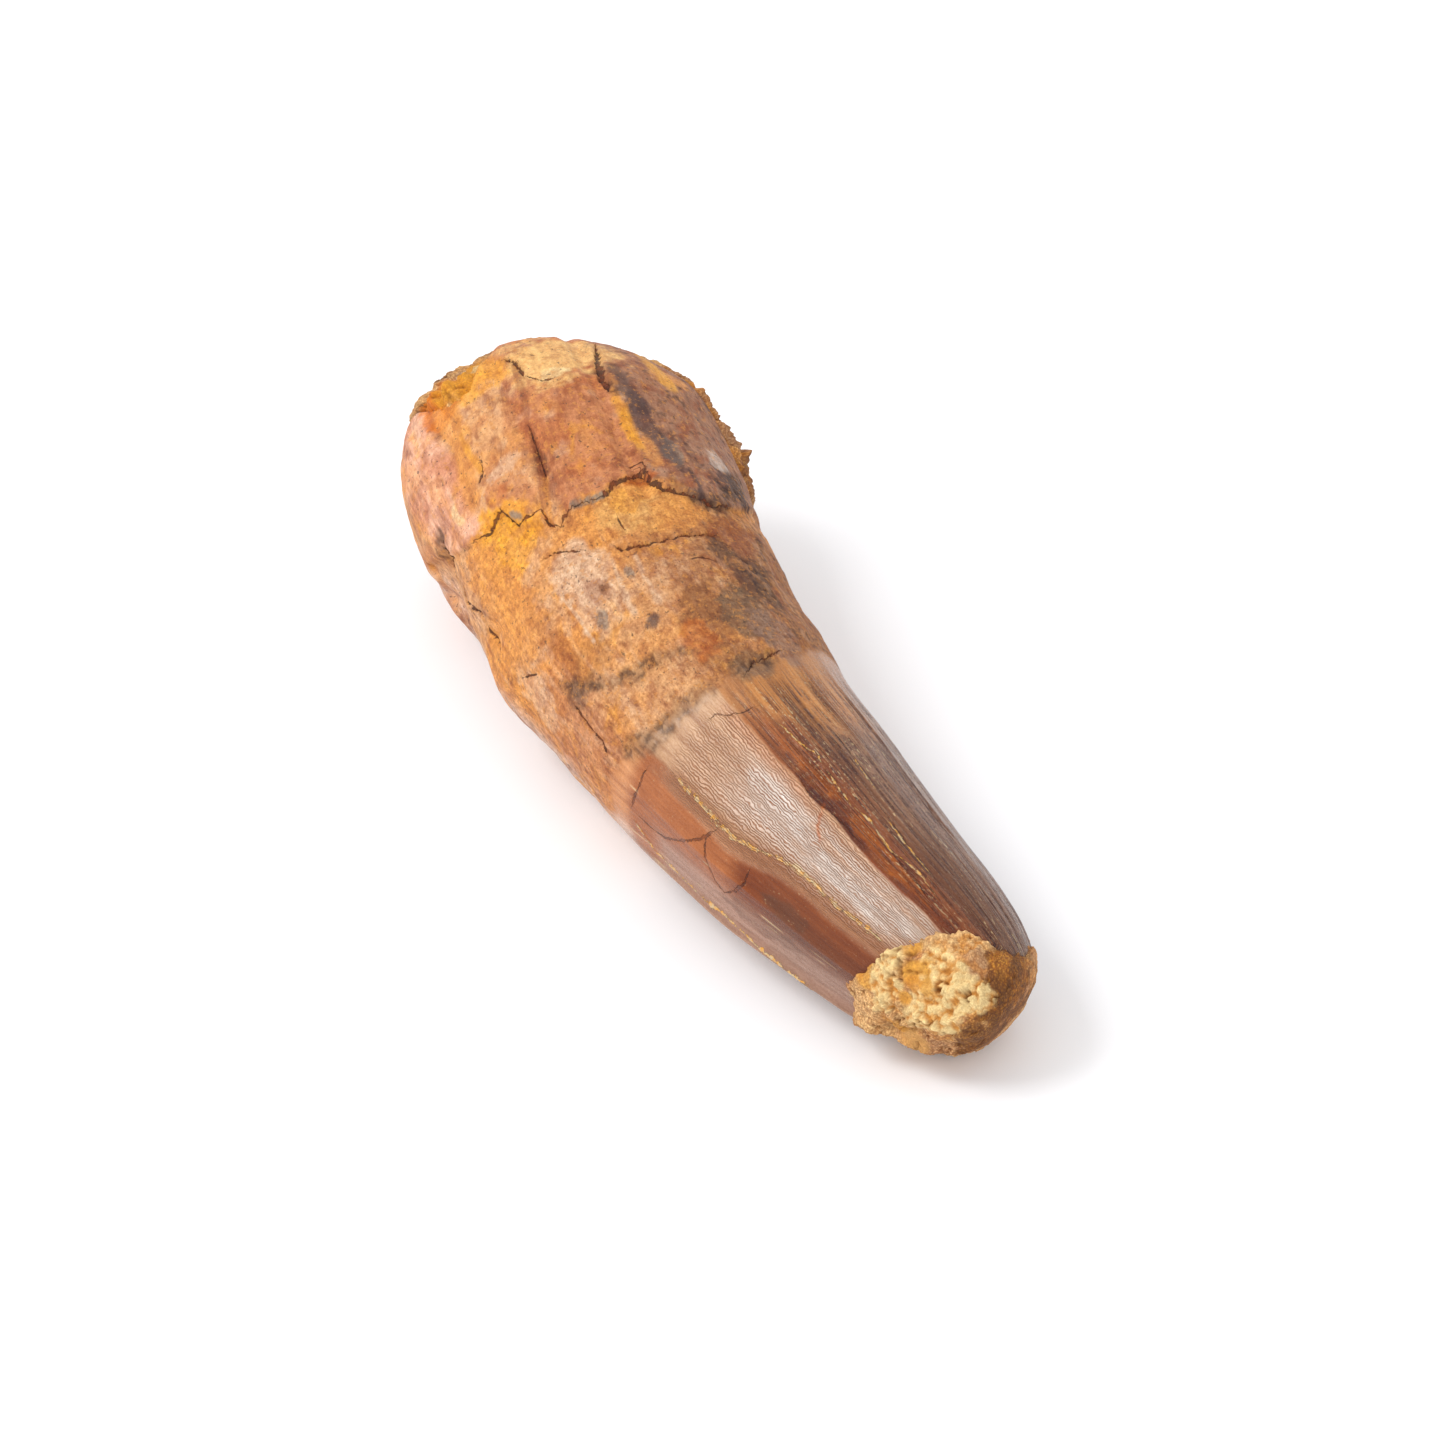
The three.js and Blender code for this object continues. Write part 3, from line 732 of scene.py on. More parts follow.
class Ground:
    """Points of a mesh on the skin, with noise that makes borders uneven. Distances are in mm."""

    def __init__(self, along, angle):
        self.along, self.angle, self.width = along, angle, half_width(along)
        self.place = straightened(along, angle)
        self.rough, self.fine = self.noise(ROUGH_SIZE), self.noise(FINE_SIZE, 3, 5)
        self.wander_along, self.wander_round = (
            sum(reach * self.noise(size, 3, start + shift) for reach, size, shift in WANDERS)
            for start in (11, 23)
        )

    def noise(self, size, octaves=4, shift=0.0, stretch=1.0):
        """Noise between about -1 and 1, drawn out along the tooth by the stretch."""
        return fractal(self.place * [1 / stretch, 1, 1] + shift, size, octaves)

    def blotches(self, size, start, stop, shift, stretch=1.0):
        """1 in scattered blotches and 0 between them."""
        return smooth(start, stop, self.noise(size, 3, shift, stretch))

    def off(self, place, ragged):
        """How far the points lie from a place, along the tooth and round it."""
        along = self.along - place[0] + ragged * self.wander_along
        around = np.radians(turn_between(self.angle, place[1])) * self.width
        return along, around + ragged * self.wander_round

    def patch(self, place, half_length, half_breadth):
        """1 inside a patch and 0 outside, with an uneven edge."""
        off_along, off_round = self.off(place, 0.8)
        share = np.hypot(off_along / half_length, off_round / half_breadth)
        return fall(0.8, 1.1, share + 0.4 * self.fine)

    def zone(self, angle_from, angle_to, along_from, along_to, soft, ragged=0.6):
        """1 inside a zone of angles and lengths and 0 outside, fading over its softness."""
        middle, half = (angle_from + angle_to) / 2, (angle_to - angle_from) / 2
        _, around = self.off((0, middle), ragged)
        inside_round = math.radians(half) * self.width - np.abs(around)
        along = self.along + ragged * self.wander_along
        inside = np.minimum(inside_round, np.minimum(along - along_from, along_to - along))
        return smooth(-soft, soft, inside)

    def beyond(self, path, ragged=0.2):
        """How far in mm the points lie past a lengthwise border, towards larger angles."""
        alongs, angles = np.array(sorted(on_skin(path))).T
        border = np.interp(self.along, alongs, angles)
        return np.radians(turn_between(self.angle, border)) * self.width + ragged * self.wander_round

    def path(self, pixels, ragged=0.3):
        """Distance to a path of pixels, how far down it, 0 to 1, and the side of it, 1 or -1."""
        path = on_skin(pixels)
        nearest = np.full(self.along.shape, np.inf)
        progress, side = np.zeros(self.along.shape), np.ones(self.along.shape)
        for i, (start, stop) in enumerate(zip(path[:-1], path[1:])):
            turned = math.radians(turn_between(stop[1], start[1]))
            run = np.array([stop[0] - start[0], turned * half_width(start[0])])
            along, around = self.off(start, ragged)
            share = np.clip((along * run[0] + around * run[1]) / max(run @ run, 1e-6), 0, 1)
            distance = np.hypot(along - share * run[0], around - share * run[1])
            closer = distance < nearest
            nearest = np.where(closer, distance, nearest)
            progress = np.where(closer, (i + share) / (len(path) - 1), progress)
            side = np.where(closer, np.where(run[0] * around > run[1] * along, 1, -1), side)
        return nearest, progress, side


class Lines:
    """Thin lines for a shader to draw: how far off the nearest is at each point, and how wide."""

    def __init__(self, shape):
        self.nearest = np.full(shape, np.inf)
        self.offset, self.half = np.ones(shape), np.zeros(shape)

    def add(self, distance, side, half):
        closer = distance < self.nearest
        self.nearest = np.where(closer, distance, self.nearest)
        self.offset = np.where(closer, side * distance, self.offset)
        self.half = np.where(closer, half * fall(*LINE_REACH, distance), self.half)

    def trace(self, ground, path, half, ends, uneven, ragged=0.2):
        """Adds a line along a path. Returns how far off the points lie, in half widths of it."""
        distance, progress, side = ground.path(path, ragged)
        half = half * fade_ends(progress, ends) * (1 + uneven * ground.rough).clip(0.3)
        self.add(distance, side, half)
        return distance / half.clip(THINNEST)

    def field(self):
        return np.stack([self.offset.clip(-2, 2), self.half, np.zeros(self.half.shape)], axis=-1)


class Paint:
    """Colours laid over each other on the points of a mesh."""

    def __init__(self, shape, colour):
        self.colour = np.broadcast_to(colour, shape + (3,)).copy()

    def lay(self, colour, share):
        share = np.clip(share, 0, 1)[..., None]
        self.colour = self.colour * (1 - share) + colour * share

    def shade(self, amount):
        """Makes the colours lighter where the amount is above 0, and darker below."""
        self.colour = np.clip(self.colour * np.exp(amount)[..., None], 0, 1)


# ---- The tooth ----
LINE_REACH = (0.7, 1.1)  # in mm: a shader's line is known this far to either side of it
THINNEST = 0.02  # in mm, of a line that has a depth
ROWS = 286
COLUMNS = np.concatenate([  # in degrees: fine on the side that is seen, and joined under the belly
    np.arange(270, 375, 2.0), np.arange(375, 575, 0.8), np.arange(575, 630, 2.0),
])
LEDGE_WANDER = 0.3
LEDGE_JOIN = 3  # in degrees, between the seen ledge and the CAD model's
ENAMEL_SOFTNESS, PLATE_SOFTNESS = 0.6, 0.2
UNSEEN = (90, 110)  # in degrees from the middle of what is seen, where details get calmer
RIGHT_FLANK = {"middle": 10, "inside": 45, "outside": 75}
FLUTED_ZONE = (-90, 108, 11, 70, 4)
SCRATCHED_ZONE = (144, 225, -60, 60, 2)
BONE_RELIEF = (0.14, 0.08, 0.06)  # in mm, of coarse, middling and fine unevenness
ENAMEL_SMOOTHS = 0.8  # the share of it that enamel takes away
CRACK_PROFILE, SAND_PROFILE = (0.4, 1.2), (0.4, 1.6)  # in half widths: full inside, gone outside
LEDGE_CRACK_DEPTH, SPECK_DEPTH, FLUTE_DEPTH, SAND_HEIGHT = 0.25, 0.12, 0.08, 0.08  # in mm
HIDDEN_PATCHES = 60
HIDDEN_ALONG, HIDDEN_ANGLES = (-42, 4), (212, 378)
HIDDEN_LENGTHS, HIDDEN_BREADTHS, HIDDEN_STRENGTH = (2, 6), (1.5, 4), 0.55
HIDDEN_COLOURS = [YELLOW, OCHRE, PALE, SALMON, RED_BROWN, PURPLE, TAN, BROWN]


def ledge_line(angle):
    """Where the outer root plates end: along the seen crack, and the CAD ledge elsewhere."""
    places = sorted((turned, along) for along, turned in on_skin(LEDGE_PATH))
    first, last = places[0][0] - LEDGE_JOIN, places[-1][0] + LEDGE_JOIN
    kept = [pair for pair in LEDGE if not first < pair[0] < last]
    return round_the_section(sorted(kept + places), angle)


def fade_at_edges(along, angle, reach):
    """0 at both rims of the tooth's skin and 1 further in than the reach."""
    past_root = along - round_the_section(ROOT_EDGE, angle)
    before_tip = round_the_section(TIP_EDGE, angle) - along
    return smooth(0, reach, np.minimum(past_root, before_tip))


def paint_zones(paint, ground, plates, enamel):
    """Broad colours of the root plates, the neck and the crown."""
    paint.lay(TAN, ground.blotches(5, -0.3, 0.3, 200))
    for zones, where, ragged in (
        (PLATE_ZONES, plates, 0.6), (NECK_ZONES, 1 - plates, 0.6), (CROWN_ZONES, enamel, 0.35),
    ):
        for *zone, colour, strength in zones:
            paint.lay(colour, strength * ground.zone(*zone, ragged) * where)


def paint_patches(paint, ground):
    """Single patches of colour: those that are seen, and scattered ones on the side that isn't."""
    mottled = 0.78 + 0.22 * ground.blotches(0.8, -0.3, 0.3, 150)
    for x, y, length, breadth, colour, strength in PATCHES:
        spot = on_skin([(x, y)])[0]
        paint.lay(colour, strength * mottled * ground.patch(spot, length, breadth))
    rng = np.random.default_rng(SEED)
    broken = 0.3 + 0.7 * ground.blotches(2, -0.4, 0.3, 190, 2)
    for _ in range(HIDDEN_PATCHES):
        spot = rng.uniform(*HIDDEN_ALONG), rng.uniform(*HIDDEN_ANGLES)
        length, breadth = rng.uniform(*HIDDEN_LENGTHS), rng.uniform(*HIDDEN_BREADTHS)
        colour = HIDDEN_COLOURS[rng.integers(len(HIDDEN_COLOURS))]
        paint.lay(colour, HIDDEN_STRENGTH * broken * ground.patch(spot, length, breadth))


def paint_root(paint, ground, plates, root, right):
    """Mottling of the bone-like root: rust, ochre veins, pale flecks and dark specks."""
    left, mostly_plates = root * (1 - right), root * (0.3 + 0.7 * plates)
    veins = left * fall(0.02, 0.14, np.abs(ground.noise(3.2, 4, 72)))
    for colour, strength, where, *blotches in (
        (RUST, 0.42, mostly_plates * (1 - right), 2.6, 0, 0.4, 50),
        (OCHRE, 0.4, left, 2, 0.1, 0.4, 55, 1.5),
        (RED_BROWN, 0.45, mostly_plates, 1.6, 0.2, 0.5, 60),
        (YELLOW, 0.5, veins, 2.5, 0, 0.4, 74),
        (PALE, 0.3, left, 1.3, 0.25, 0.6, 80, 1.5),
        (PALE, 0.22, root * (1 - plates), 0.7, 0.25, 0.6, 90, 5),
        (RED_BROWN, 0.45, root, 0.6, 0.2, 0.5, 95, 3),
        (DARK, 0.35, root * (0.2 + 0.8 * right), 1.1, 0.2, 0.6, 100, 3),
        (DARK, 0.6, root * (0.3 + 0.7 * right), 0.5, 0.25, 0.5, 110),
    ):
        paint.lay(colour, strength * where * ground.blotches(*blotches))


def paint_white_facet(paint, ground, enamel):
    """The wrinkled strip on top of the crown, whitest in its middle, where it carries a painted
    reflection. Returns where it is.
    """
    past_right, past_sand = ground.beyond(WHITE_RIGHT, 0.15), ground.beyond(SAND_LINE, 0.3)
    past_white = ground.beyond(WHITE_LEFT, 0.6)
    along = ground.along + ground.wander_along
    inside = smooth(-0.15, 0.15, past_right) * enamel
    paint.lay(MATTE, inside * fall(-0.3, 0.3, past_sand))
    wrinkled = inside * fall(0.8, 2.2, past_sand) * smooth(9, 14, along)
    paint.lay(WRINKLED, 0.8 * wrinkled)
    paint.lay(WRINKLED_BROWN, 0.8 * wrinkled * smooth(-1.2, 0.3, past_sand))
    from_right = smooth(0.2, 1.8, past_right + 1.2 * smooth(28, 38, along))
    # The whitest part is pale enamel with a painted reflection of the studio light.
    white = inside * from_right * fall(-1.2, 1, past_white) * smooth(14, 22, along)
    paint.lay(PALE_AND_HIGHLIGHT, 0.85 * white)
    paint.lay(WRINKLED, 0.6 * white * ground.blotches(0.9, 0, 0.5, 180, 3))
    rosy = fall(0.4, 1.8, past_right) * fall(20, 30, along)
    paint.lay(SALMON, 0.45 * rosy * wrinkled)
    return wrinkled


def open_cracks(paint, ground, dark_lines):
    """Cracks, the ledge and dark bands of specks. Returns how they change the height."""
    rough, fine = ground.rough, ground.fine
    height = np.zeros(ground.along.shape)
    for path, half, depth in CRACKS:
        height -= depth * fall(*CRACK_PROFILE, dark_lines.trace(ground, path, half, 0.15, 0.6))
    distance, _, side = ground.path(LEDGE_PATH, LEDGE_WANDER)
    half = (0.15 + 0.2 * rough + 0.14 * fine).clip(0.03)
    height -= LEDGE_CRACK_DEPTH * fall(*CRACK_PROFILE, distance / half)
    for path in GREY_FILLS:
        grey_fill = fall(0.15, 0.4, ground.path(path, 0.4)[0] + 0.2 * fine)
        paint.lay(GREY, 0.85 * grey_fill)
        half = half * (1 - 0.8 * grey_fill)
    dark_lines.add(distance, side, half)
    specks = ground.blotches(0.6, -0.05, 0.35, 120)
    for path, half in DARK_BANDS:
        band = fall(0.3, 1.5, ground.path(path, 0.9)[0] / half + 0.5 * rough)
        paint.lay(NECK_GREY, 0.4 * band)
        paint.lay(DARK, 0.6 * band * specks)
        height -= SPECK_DEPTH * band * specks
    for path, half, colour, strength in STREAKS:
        distance = ground.path(path)[0] / half + 0.6 * rough + 0.4 * fine
        paint.lay(colour, strength * fall(0.5, 1.5, distance))
    return height


def line_crown(paint, ground, enamel, fluted, dark_lines, sand_lines):
    """Lengthwise lines of the enamel: sand in two of them, and fine flutes on the right."""
    height = np.zeros(ground.along.shape)
    for path, half in ((SAND_LINE, 0.2), (KEEL_LINE, 0.15)):
        off = sand_lines.trace(ground, path, half, 0.05, 0.8, 0.3)
        height += SAND_HEIGHT * fall(*SAND_PROFILE, off)
    flutes = fall(0, 0.12, np.abs(ground.noise(1.3, 2, 140, 30)))
    paint.lay(CROWN_DARK, 0.65 * flutes * fluted)
    for lines, paths, half in ((dark_lines, DARK_LINES, 0.09), (sand_lines, PALE_LINES, 0.07)):
        for path in paths:
            lines.trace(ground, path, half, 0.2, 0.5)
    scratches = fall(0, 0.05, np.abs(ground.noise(0.9, 2, 160, 30)))
    scratches = scratches * ground.blotches(1, 0.15, 0.35, 170, 3)
    paint.lay(PALE_SAND, 0.7 * scratches * enamel * ground.zone(*SCRATCHED_ZONE))
    return height - FLUTE_DEPTH * flutes * fluted


def make_tooth():
    share, angle = np.meshgrid(np.linspace(0, 1, ROWS), COLUMNS, indexing="ij")
    start, stop = round_the_section(ROOT_EDGE, angle), round_the_section(TIP_EDGE, angle)
    along = start + (stop - start) * share
    ground = Ground(along, angle)
    unseen = smooth(*UNSEEN, np.abs(turn_between(angle, SEEN_MIDDLE)))
    past_border = along - round_the_section(ENAMEL_EDGE, angle) + (1 + unseen) * ground.wander_along
    enamel = smooth(-ENAMEL_SOFTNESS, ENAMEL_SOFTNESS, past_border)
    past_ledge = along + LEDGE_WANDER * ground.wander_along - ledge_line(angle)
    plates = fall(-PLATE_SOFTNESS, PLATE_SOFTNESS, past_ledge)
    from_flank = np.abs(turn_between(angle, RIGHT_FLANK["middle"]))
    right = fall(RIGHT_FLANK["inside"], RIGHT_FLANK["outside"], from_flank)
    fluted = ground.zone(*FLUTED_ZONE) * enamel * fall(-0.4, 0, ground.beyond(WHITE_RIGHT))
    fluted = fluted * (1 - 0.5 * unseen)

    paint = Paint(along.shape, OCHRE)
    paint_zones(paint, ground, plates, enamel)
    paint.lay(CROWN_RED, 0.45 * enamel * unseen * ground.blotches(2.5, -0.1, 0.4, 210, 8))
    paint_root(paint, ground, plates, 1 - enamel, right)
    paint_patches(paint, ground)
    paint.shade(0.09 * (1 - enamel))
    wrinkled = paint_white_facet(paint, ground, enamel)
    coarse, middling, fine = BONE_RELIEF
    height = coarse * ground.rough + middling * ground.noise(1.2, 3, 41, 4) + fine * ground.fine
    height *= 1 - ENAMEL_SMOOTHS * enamel
    dark_lines, sand_lines = Lines(along.shape), Lines(along.shape)
    height += open_cracks(paint, ground, dark_lines)
    height += line_crown(paint, ground, enamel, fluted, dark_lines, sand_lines)
    soft_ledge = fall(-LEDGE_RUN, LEDGE_RUN, along - round_the_section(LEDGE, angle))
    sharpened = PLATE_LIFT * (plates - soft_ledge)
    rings = skin(along, angle, height * fade_at_edges(along, angle, 1) + sharpened)
    fields = {
        "paint": paint.colour, "enamel": enamel, "wrinkled": wrinkled, "fluted": fluted,
        "gritty": (1 - enamel) * (1 - 0.6 * plates),
        "straight": ground.place, "flat": unrolled(along, angle),
        "dark_lines": dark_lines.field(), "sand_lines": sand_lines.field(),
    }
    root_face, tip_face = end_face(rings[0], ROOT_HOLLOW), end_face(rings[-1], TIP_BULGE)
    return make_mesh("tooth_skin", rings, root_face, tip_face, fields)


# ---- The sandstone crusts ----
CRUST_ROWS, CRUST_COLUMNS = 150, 440
CRUST_LIP = 2.4  # how far in mm a crust goes on under the tooth's edge
CRUST_CROWDING = 1.8  # above 1, rows lie closer near the end of the fossil
GRAIN_SIZE = 0.34
CRUST_ROUGH_SIZE, CRUST_FINE_SIZE = 2.2, 0.7  # in mm
CAD_LUMPS_SHARE = 0.8  # how much of the CAD model's lumps is followed
CRUST_PIT_DEPTH, LIP_DEPTH = 0.45, 0.9  # in mm: the lip lies this far under the tooth's skin
WARP = {"depth": 0.3, "size": 1.4, "shifts": (101, 113, 127)}  # keeps lumps from looking round
STAINS = [  # shift of the noise, size in mm and colour, where a crust is stained
    (61, 5, RUSTY_SAND), (73, 4, GREY_BROWN), (87, 2.4, BROWN_SAND),
]
SWELL_SIZE = 6.5
TIP = {
    "name": "tip_crust", "edge": TIP_EDGE, "end": AXIS_LENGTH / 2, "face_depth": TIP_BULGE,
    "lift": 0.35, "popcorn": 0.9, "lump_size": 1.15, "swell": 0, "stained": 0.25,
    "cad_lumps": 1.3, "cad_grain": 1.2,
    "patches": [  # pixel, radius in mm, colour, strength, share of lumps, share of sand
        (862, 1000, 3, TOP_SAND, 0.7, 0.2, 0.9),
        (1014, 985, 5.5, BROWN_SAND, 0.9, 0.4, 1),
        (1000, 968, 1.4, RUSTY_SAND, 0.4, 0.3, 1),
        (945, 1055, 4.5, EARTH, 0.8, 0.05, 1),
        (985, 1038, 4, BROWN_SAND, 0.9, 0.1, 1),
        (1004, 1012, 3, BROWN_SAND, 0.7, 0.3, 1),
        (955, 938, 3.2, TOP_SAND, 0.95, 0.8, 0.6),
        (972, 974, 1.8, PINK_SAND, 0.9, 0.5, 0.6),
        (913, 950, 1.3, HONEY, 0.9, 0.2, 0.2),
        (870, 978, 1.6, HONEY, 0.8, 0.4, 0.5),
        (912, 1036, 2.2, FACET_SAND, 0.9, 0, 0.2),
        (893, 957, 2.2, CREAM_SAND, 0.95, 1, 0.2),
        (889, 985, 2, CREAM_SAND, 0.95, 1, 0.2),
        (886, 1004, 1.2, CREAM_SAND, 0.8, 1, 0.3),
        (938, 970, 2.4, CREAM_SAND, 0.95, 1, 0.2),
        (956, 990, 2.6, CREAM_SAND, 0.95, 1, 0.2),
        (928, 1003, 2.2, CREAM_SAND, 0.95, 1, 0.2),
        (980, 1000, 1.8, CREAM_SAND, 0.95, 1, 0.3),
        (945, 1018, 2.4, CREAM_SAND, 0.95, 1, 0.3),
        (915, 1014, 1.8, CREAM_SAND, 0.8, 1, 0.3),
        (915, 970, 1.6, HONEY, 0.95, 0.1, 0.1),
        (906, 998, 1, HONEY, 0.9, 0.3, 0.1),
        (930, 990, 0.9, HONEY, 0.8, 0.4, 0.1),
        (898, 1022, 1.4, YELLOW, 0.6, 0.3, 0.3),
        (918, 984, 1, RUSTY_SAND, 0.8, 0.4, 0.1),
    ],
    "knobs": [  # pixel, radius and height in mm
        (860, 1012, 2.6, 0.7), (890, 1046, 3, -0.6), (893, 955, 1.8, 0.5), (889, 985, 1.6, 0.4),
        (938, 972, 2.4, 0.45), (956, 992, 2.4, 0.4), (984, 1002, 1.6, 0.2), (945, 1020, 1.8, 0.35),
        (955, 936, 2.6, 0.4),
    ],
}
ROOT = {
    "name": "root_crust", "edge": ROOT_EDGE, "end": -AXIS_LENGTH / 2, "face_depth": ROOT_HOLLOW,
    "lift": 0.3, "popcorn": 1.3, "lump_size": 1.6, "swell": 2.2, "stained": 1,
    "cad_lumps": 1.4, "cad_grain": 1,
    "patches": [
        (437, 400, 3.5, ORANGE, 0.95, 1, 0.3),
        (480, 372, 4, YELLOW, 0.9, 1, 0.3),
        (520, 345, 3.5, YELLOW, 0.8, 0.5, 0.4),
        (457, 388, 2.6, YELLOW, 0.9, 1, 0.3),
        (482, 366, 1.2, CREAM, 0.6, 1, 0.3),
        (695, 395, 4, OCHRE, 0.8, 0.9, 0.6),
        (728, 430, 5, EARTH, 0.8, 1, 0.8),
        (742, 475, 3, BROWN, 0.8, 1, 0.8),
    ],
    "knobs": [
        (724, 418, 5.5, -1.7), (743, 456, 1, 1.5), (702, 403, 1.2, 0.5), (722, 425, 1, 0.5),
        (472, 358, 7, -1.8), (437, 400, 1.6, 0.8), (452, 388, 1.2, 0.9),
        (466, 378, 1, 0.7), (486, 362, 1.2, 0.7),
    ],
}


def paint_crust(crust, paint, base, rough, fine, distance_to):
    """The sandstone's colours. Returns where it is lumpy and where it is sandy."""
    paint.lay(EARTH, smooth(-0.2, 0.6, fractal(base + 5, 3)))
    for shift, size, colour in STAINS:
        paint.lay(colour, 0.7 * crust["stained"] * smooth(0, 0.5, fractal(base + shift, size, 3)))
    lumpy, sandy = np.full(rough.shape, 0.5), np.full(rough.shape, 0.8)
    for x, y, radius, colour, strength, lumps_here, sand_here in crust["patches"]:
        part = fall(0.7, 1.1, distance_to((x, y)) / radius + 0.5 * rough + 0.25 * fine)
        paint.lay(colour, strength * part)
        lumpy = lumpy * (1 - part) + lumps_here * part
        sandy = sandy * (1 - part) + sand_here * part
    return lumpy, sandy


def make_crust(crust):
    """Sandstone from a lip under the tooth's edge round the end of the fossil."""
    end, outwards = crust["end"], math.copysign(1, crust["end"])
    shares = np.linspace(1, 0, CRUST_ROWS + 1)[:-1]
    share, angle = np.meshgrid(shares, np.linspace(0, 360, CRUST_COLUMNS + 1)[:-1], indexing="ij")
    edge = round_the_section(crust["edge"], angle)
    along = end + (edge - outwards * CRUST_LIP - end) * share ** CRUST_CROWDING
    past_edge = outwards * (along - edge)
    base = skin(along, angle)
    rough, fine = fractal(base, CRUST_ROUGH_SIZE), fractal(base, CRUST_FINE_SIZE, 3)

    def distance_to(pixel):
        return np.linalg.norm(base - skin(*on_skin([pixel])[0]), axis=-1)

    paint = Paint(along.shape, SANDSTONE)
    lumpy, sandy = paint_crust(crust, paint, base, rough, fine, distance_to)
    sizes = (crust["lump_size"], crust["lump_size"] / 2, GRAIN_SIZE)
    warp = np.stack([fractal(base + shift, WARP["size"], 3) for shift in WARP["shifts"]], axis=-1)
    bent = base + WARP["depth"] * warp
    lump, lumplet, grain = (grains(bent + 0.3 * size, size) for size in sizes)
    popcorn = 0.5 * fall(0.25, 0.9, lump) + 0.34 * fall(0.2, 0.8, lumplet)
    cad_lumps = crust["cad_lumps"] * (value_noise(base, CAD_LUMP_SIZE) - 0.5)
    cad_lumps += crust["cad_grain"] * (value_noise(base, CAD_GRAIN_SIZE) - 0.5)
    pits = smooth(0.2, 0.5, fractal(base + 11, 1, 3)) * smooth(0.3, 0.8, lumplet)
    height = crust["lift"] + CAD_LUMPS_SHARE * cad_lumps
    height += (0.1 + 0.14 * sandy) * (1 - grain)
    height += 0.12 * fine
    height += crust["popcorn"] * lumpy * (popcorn - 0.25)
    height += crust["swell"] * fall(0.3, 0.75, share) * (value_noise(base, SWELL_SIZE) - 0.5)
    height -= CRUST_PIT_DEPTH * pits
    for x, y, radius, knob in crust["knobs"]:
        height += knob * bump(distance_to((x, y)), radius)
    # Painted shade: the hollows between the lumps are painted amber, the deepest of them and the pits
    # brown.
    crevice_shade = lumpy * fall(0.1, 0.55, popcorn)
    paint.lay(AMBER_SAND, 0.85 * crevice_shade)
    paint.lay(BROWN_SAND, 0.5 * crevice_shade ** 3 * smooth(-0.1, 0.4, fine))
    paint.lay(BROWN_SAND, 0.8 * pits)
    paint.shade((0.2 + 0.3 * sandy) * (0.5 - grain) + 0.2 * fine)
    sink = fall(-1.2, 0.9, past_edge + 0.5 * fine + 0.8 * rough + 0.2)
    height = height * (1 - fall(0, 3.5, past_edge) * (0.75 - 0.5 * lumpy))
    rings = skin(along, angle, height * (1 - sink) - LIP_DEPTH * sink)

    fields = {"paint": paint.colour, "place": base, "sandy": sandy}
    face, pole = end_face(rings[0], crust["face_depth"]), (rings[:0], skin(end, 0))
    if end > 0:
        return make_mesh(crust["name"], rings, face, pole, fields)
    fields = {name: values[::-1] for name, values in fields.items()}
    return make_mesh(crust["name"], rings[::-1], pole, face, fields)


# ---- Materials ----
STAIN, SPECK = np.array([0.66, 0.5, 0.44]), np.array([0.05, 0.03, 0.02])
SPOTS = [  # noise scale and detail, where the spots start and stop, a strength, a colour and a blend
    (0.8, 8, 0.7, 0.5, 0.56, 0.5, STAIN, "MULTIPLY"),
    (1.7, 8, 0.7, 0.55, 0.6, 0.45, OCHRE, "MIX"),
    (2.4, 5, 0.65, 0.62, 0.65, 0.7, SPECK, "MIX"),
]


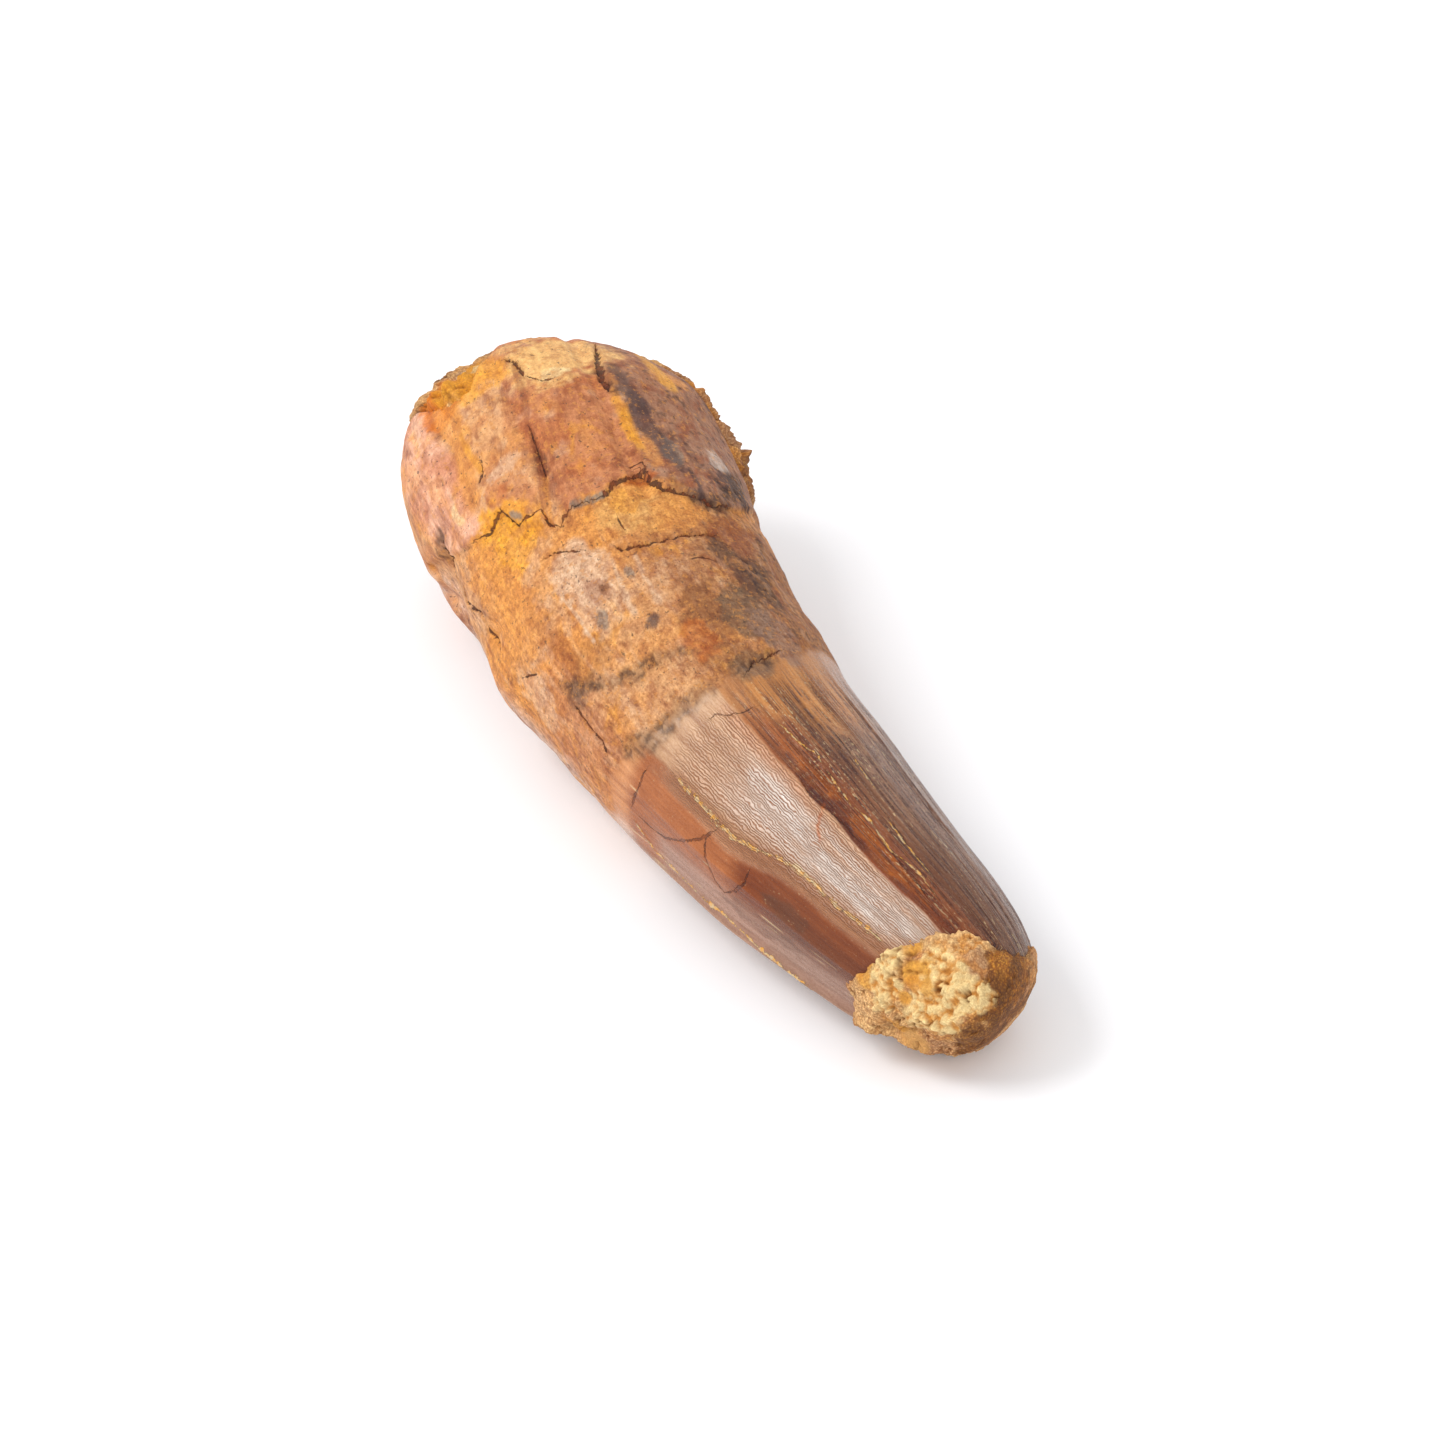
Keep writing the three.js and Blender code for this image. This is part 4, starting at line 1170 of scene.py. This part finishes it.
def tooth_material():
    shader = Shader("fossil_tooth")
    ramp, noise, tinted, times = shader.ramp, shader.noise, shader.tinted, shader.times
    straight, flat = shader.field("straight", "Vector"), shader.field("flat", "Vector")
    enamel, fluted = shader.field("enamel"), shader.field("fluted")
    wrinkled, gritty = shader.field("wrinkled"), shader.field("gritty")

    streaks = noise(shader.stretch(straight, 0.2), 2.4, 4, 0.65)
    colour = tinted(shader.field("paint", "Color"), ramp(streaks, 0.3, 0.7), 1, 0.15)
    grit = noise(straight, 1.9, 6, 0.8)
    colour = tinted(colour, ramp(grit, 0.38, 0.62), gritty, 0.24)
    bone = ramp(enamel, 0, 1, 1, 0)
    for scale, detail, roughness, start, stop, strength, tint, blend in SPOTS:
        spots = ramp(noise(straight, scale, detail, roughness), start, stop, 0, strength)
        colour = shader.mix(times(spots, bone), colour, tint, blend)
    grain = noise(straight, 4, 4, 0.75)
    colour = tinted(colour, ramp(grain, 0.3, 0.7), ramp(enamel, 0, 1, 0.75, 0.35), 0.22)

    bands = noise(shader.stretch(flat, 0.03), 0.9, 4, 0.6)
    banded = times(enamel, ramp(fluted, 0, 1, 0.65, 0.9))
    colour = tinted(colour, ramp(bands, 0.35, 0.65), banded, 0.26)
    thin = shader.thin_lines(noise(shader.stretch(flat, 0.025), 1.8, 3, 0.6), 0.055)
    lines = times(times(thin, ramp(noise(flat, 0.7), 0.36, 0.5)), fluted)
    colour = shader.mix(times(lines, 0.85), colour, AMBER_DARK)
    dust = times(ramp(noise(straight, 4, 3, 0.7), 0.66, 0.7, 0, 0.45), enamel)
    colour = shader.mix(dust, colour, PALE_SAND)
    thinner = shader.thin_lines(noise(shader.stretch(flat, 0.02), 2.2, 1, 0.5), 0.02)
    dashes = ramp(noise(shader.stretch(flat, 0.8), 2.6, 2), 0.52, 0.56)
    colour = shader.mix(times(times(times(thinner, dashes), fluted), 0.8), colour, PALE_SAND)

    wiggle, crumbs = noise(straight, 1.6), noise(straight, 1.3, 4, 0.7)
    cracks = shader.drawn_lines("dark_lines", wiggle, ramp(crumbs, 0.35, 0.65, 0.1, 1.1))
    crack_colour = shader.mix(ramp(wiggle, 0.45, 0.62), CRACK_DARK, AMBER)
    colour = shader.mix(times(cracks, ramp(enamel, 0, 1, 0.85, 0.65)), colour, crack_colour)
    sand = shader.drawn_lines("sand_lines", wiggle, ramp(crumbs, 0.4, 0.6, 0, 1.9))
    sand_colour = shader.mix(ramp(wiggle, 0.4, 0.6), PALE_SAND, HONEY)
    colour = shader.mix(times(sand, 0.9), colour, sand_colour)

    wrinkles = shader.waves(shader.stretch(flat, 0.8), 1.05, 10, 4)
    denser = ramp(noise(shader.stretch(flat, 0.3), 0.5), 0.4, 0.6, 0.4, 1)
    valleys = times(ramp(wrinkles, 0, 0.5, 1, 0), wrinkled)
    colour = shader.mix(times(valleys, denser), colour, WRINKLED_BROWN)

    rough = shader.maths("ADD", ramp(enamel, 0, 1, 0.62, 0.28), ramp(grain, 0.3, 0.7, -0.08, 0.08))
    normal = shader.bumps(
        (times(grain, ramp(enamel, 0, 1, 1, 0.15)), 0.15, 0.4), (cracks, -0.2, 0.8), (sand, 0.15, 0.8),
        (streaks, 0.15, 0.5), (times(grit, gritty), 0.4, 0.55), (valleys, -0.1, 0.9), (lines, -0.06, 0.8),
    )
    return shader.finish(Base_Color=colour, Roughness=rough, Normal=normal, Specular_IOR_Level=0.32)


def crust_material(name):
    shader = Shader(name)
    place, sandy = shader.field("place", "Vector"), shader.field("sandy")
    grain = shader.noise(place, 5.5, 3, 0.7)
    from_grain, grey = shader.cells(place, 5)
    paint = shader.field("paint", "Color")
    colour = shader.tinted(paint, shader.ramp(from_grain, 0.1, 0.7, 1, 0), sandy, 0.3)
    colour = shader.tinted(colour, grey, sandy, 0.25)
    colour = shader.tinted(colour, shader.ramp(grain, 0.3, 0.7), 0.6, 0.3)
    rough = shader.ramp(grain, 0.3, 0.7, 0.8, 0.95)
    normal = shader.bumps((from_grain, -0.1, 0.7), (grain, 0.2, 0.7))
    return shader.finish(Base_Color=colour, Roughness=rough, Normal=normal)


# ---- Floor and light, in metres and watts ----
FLOOR_SIZE = 4
FLOOR_COLOUR, FLOOR_GLOW = np.array([0.88, 0.88, 0.9]), 0.06
WHITE_LIGHT = (1, 1, 1, 1)
KEY_DIRECTION = (-0.15, -0.58, 0.8)
KEY_DISTANCE, KEY_SIZE, KEY_POWER = 0.7, 0.28, 2.3
WORLD_STRENGTH = 1


def make_floor():
    bpy.ops.mesh.primitive_plane_add(size=FLOOR_SIZE)
    floor = bpy.context.object
    floor.name = "floor"
    floor.data.materials.append(Shader("floor").finish(
        Base_Color=FLOOR_COLOUR, Roughness=0.9, Emission_Color=WHITE_LIGHT, Emission_Strength=FLOOR_GLOW,
    ))
    return floor


def make_light():
    scene = bpy.context.scene
    scene.view_settings.view_transform = "Standard"
    scene.world = bpy.data.worlds.new("studio")
    scene.world.use_nodes = True
    sky = scene.world.node_tree.nodes["Background"].inputs
    sky["Color"].default_value = WHITE_LIGHT
    sky["Strength"].default_value = WORLD_STRENGTH
    data = bpy.data.lights.new("key", "AREA")
    data.shape, data.size, data.energy = "SQUARE", KEY_SIZE, KEY_POWER
    key = bpy.data.objects.new("key", data)
    bpy.context.collection.objects.link(key)
    direction = Vector(KEY_DIRECTION)
    key.location = direction * KEY_DISTANCE
    key.rotation_euler = direction.to_track_quat("Z", "Y").to_euler()


tooth = make_tooth()
tooth.data.materials.append(tooth_material())
tip = make_crust(TIP)
tip.data.materials.append(crust_material("tip_sandstone"))
root = make_crust(ROOT)
root.data.materials.append(crust_material("root_sandstone"))
for piece, node in ((tooth, "tooth"), (tip, "tip_matrix"), (root, "root_matrix")):
    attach(piece, "root")
    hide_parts(node)
make_light()
make_camera()
make_floor()
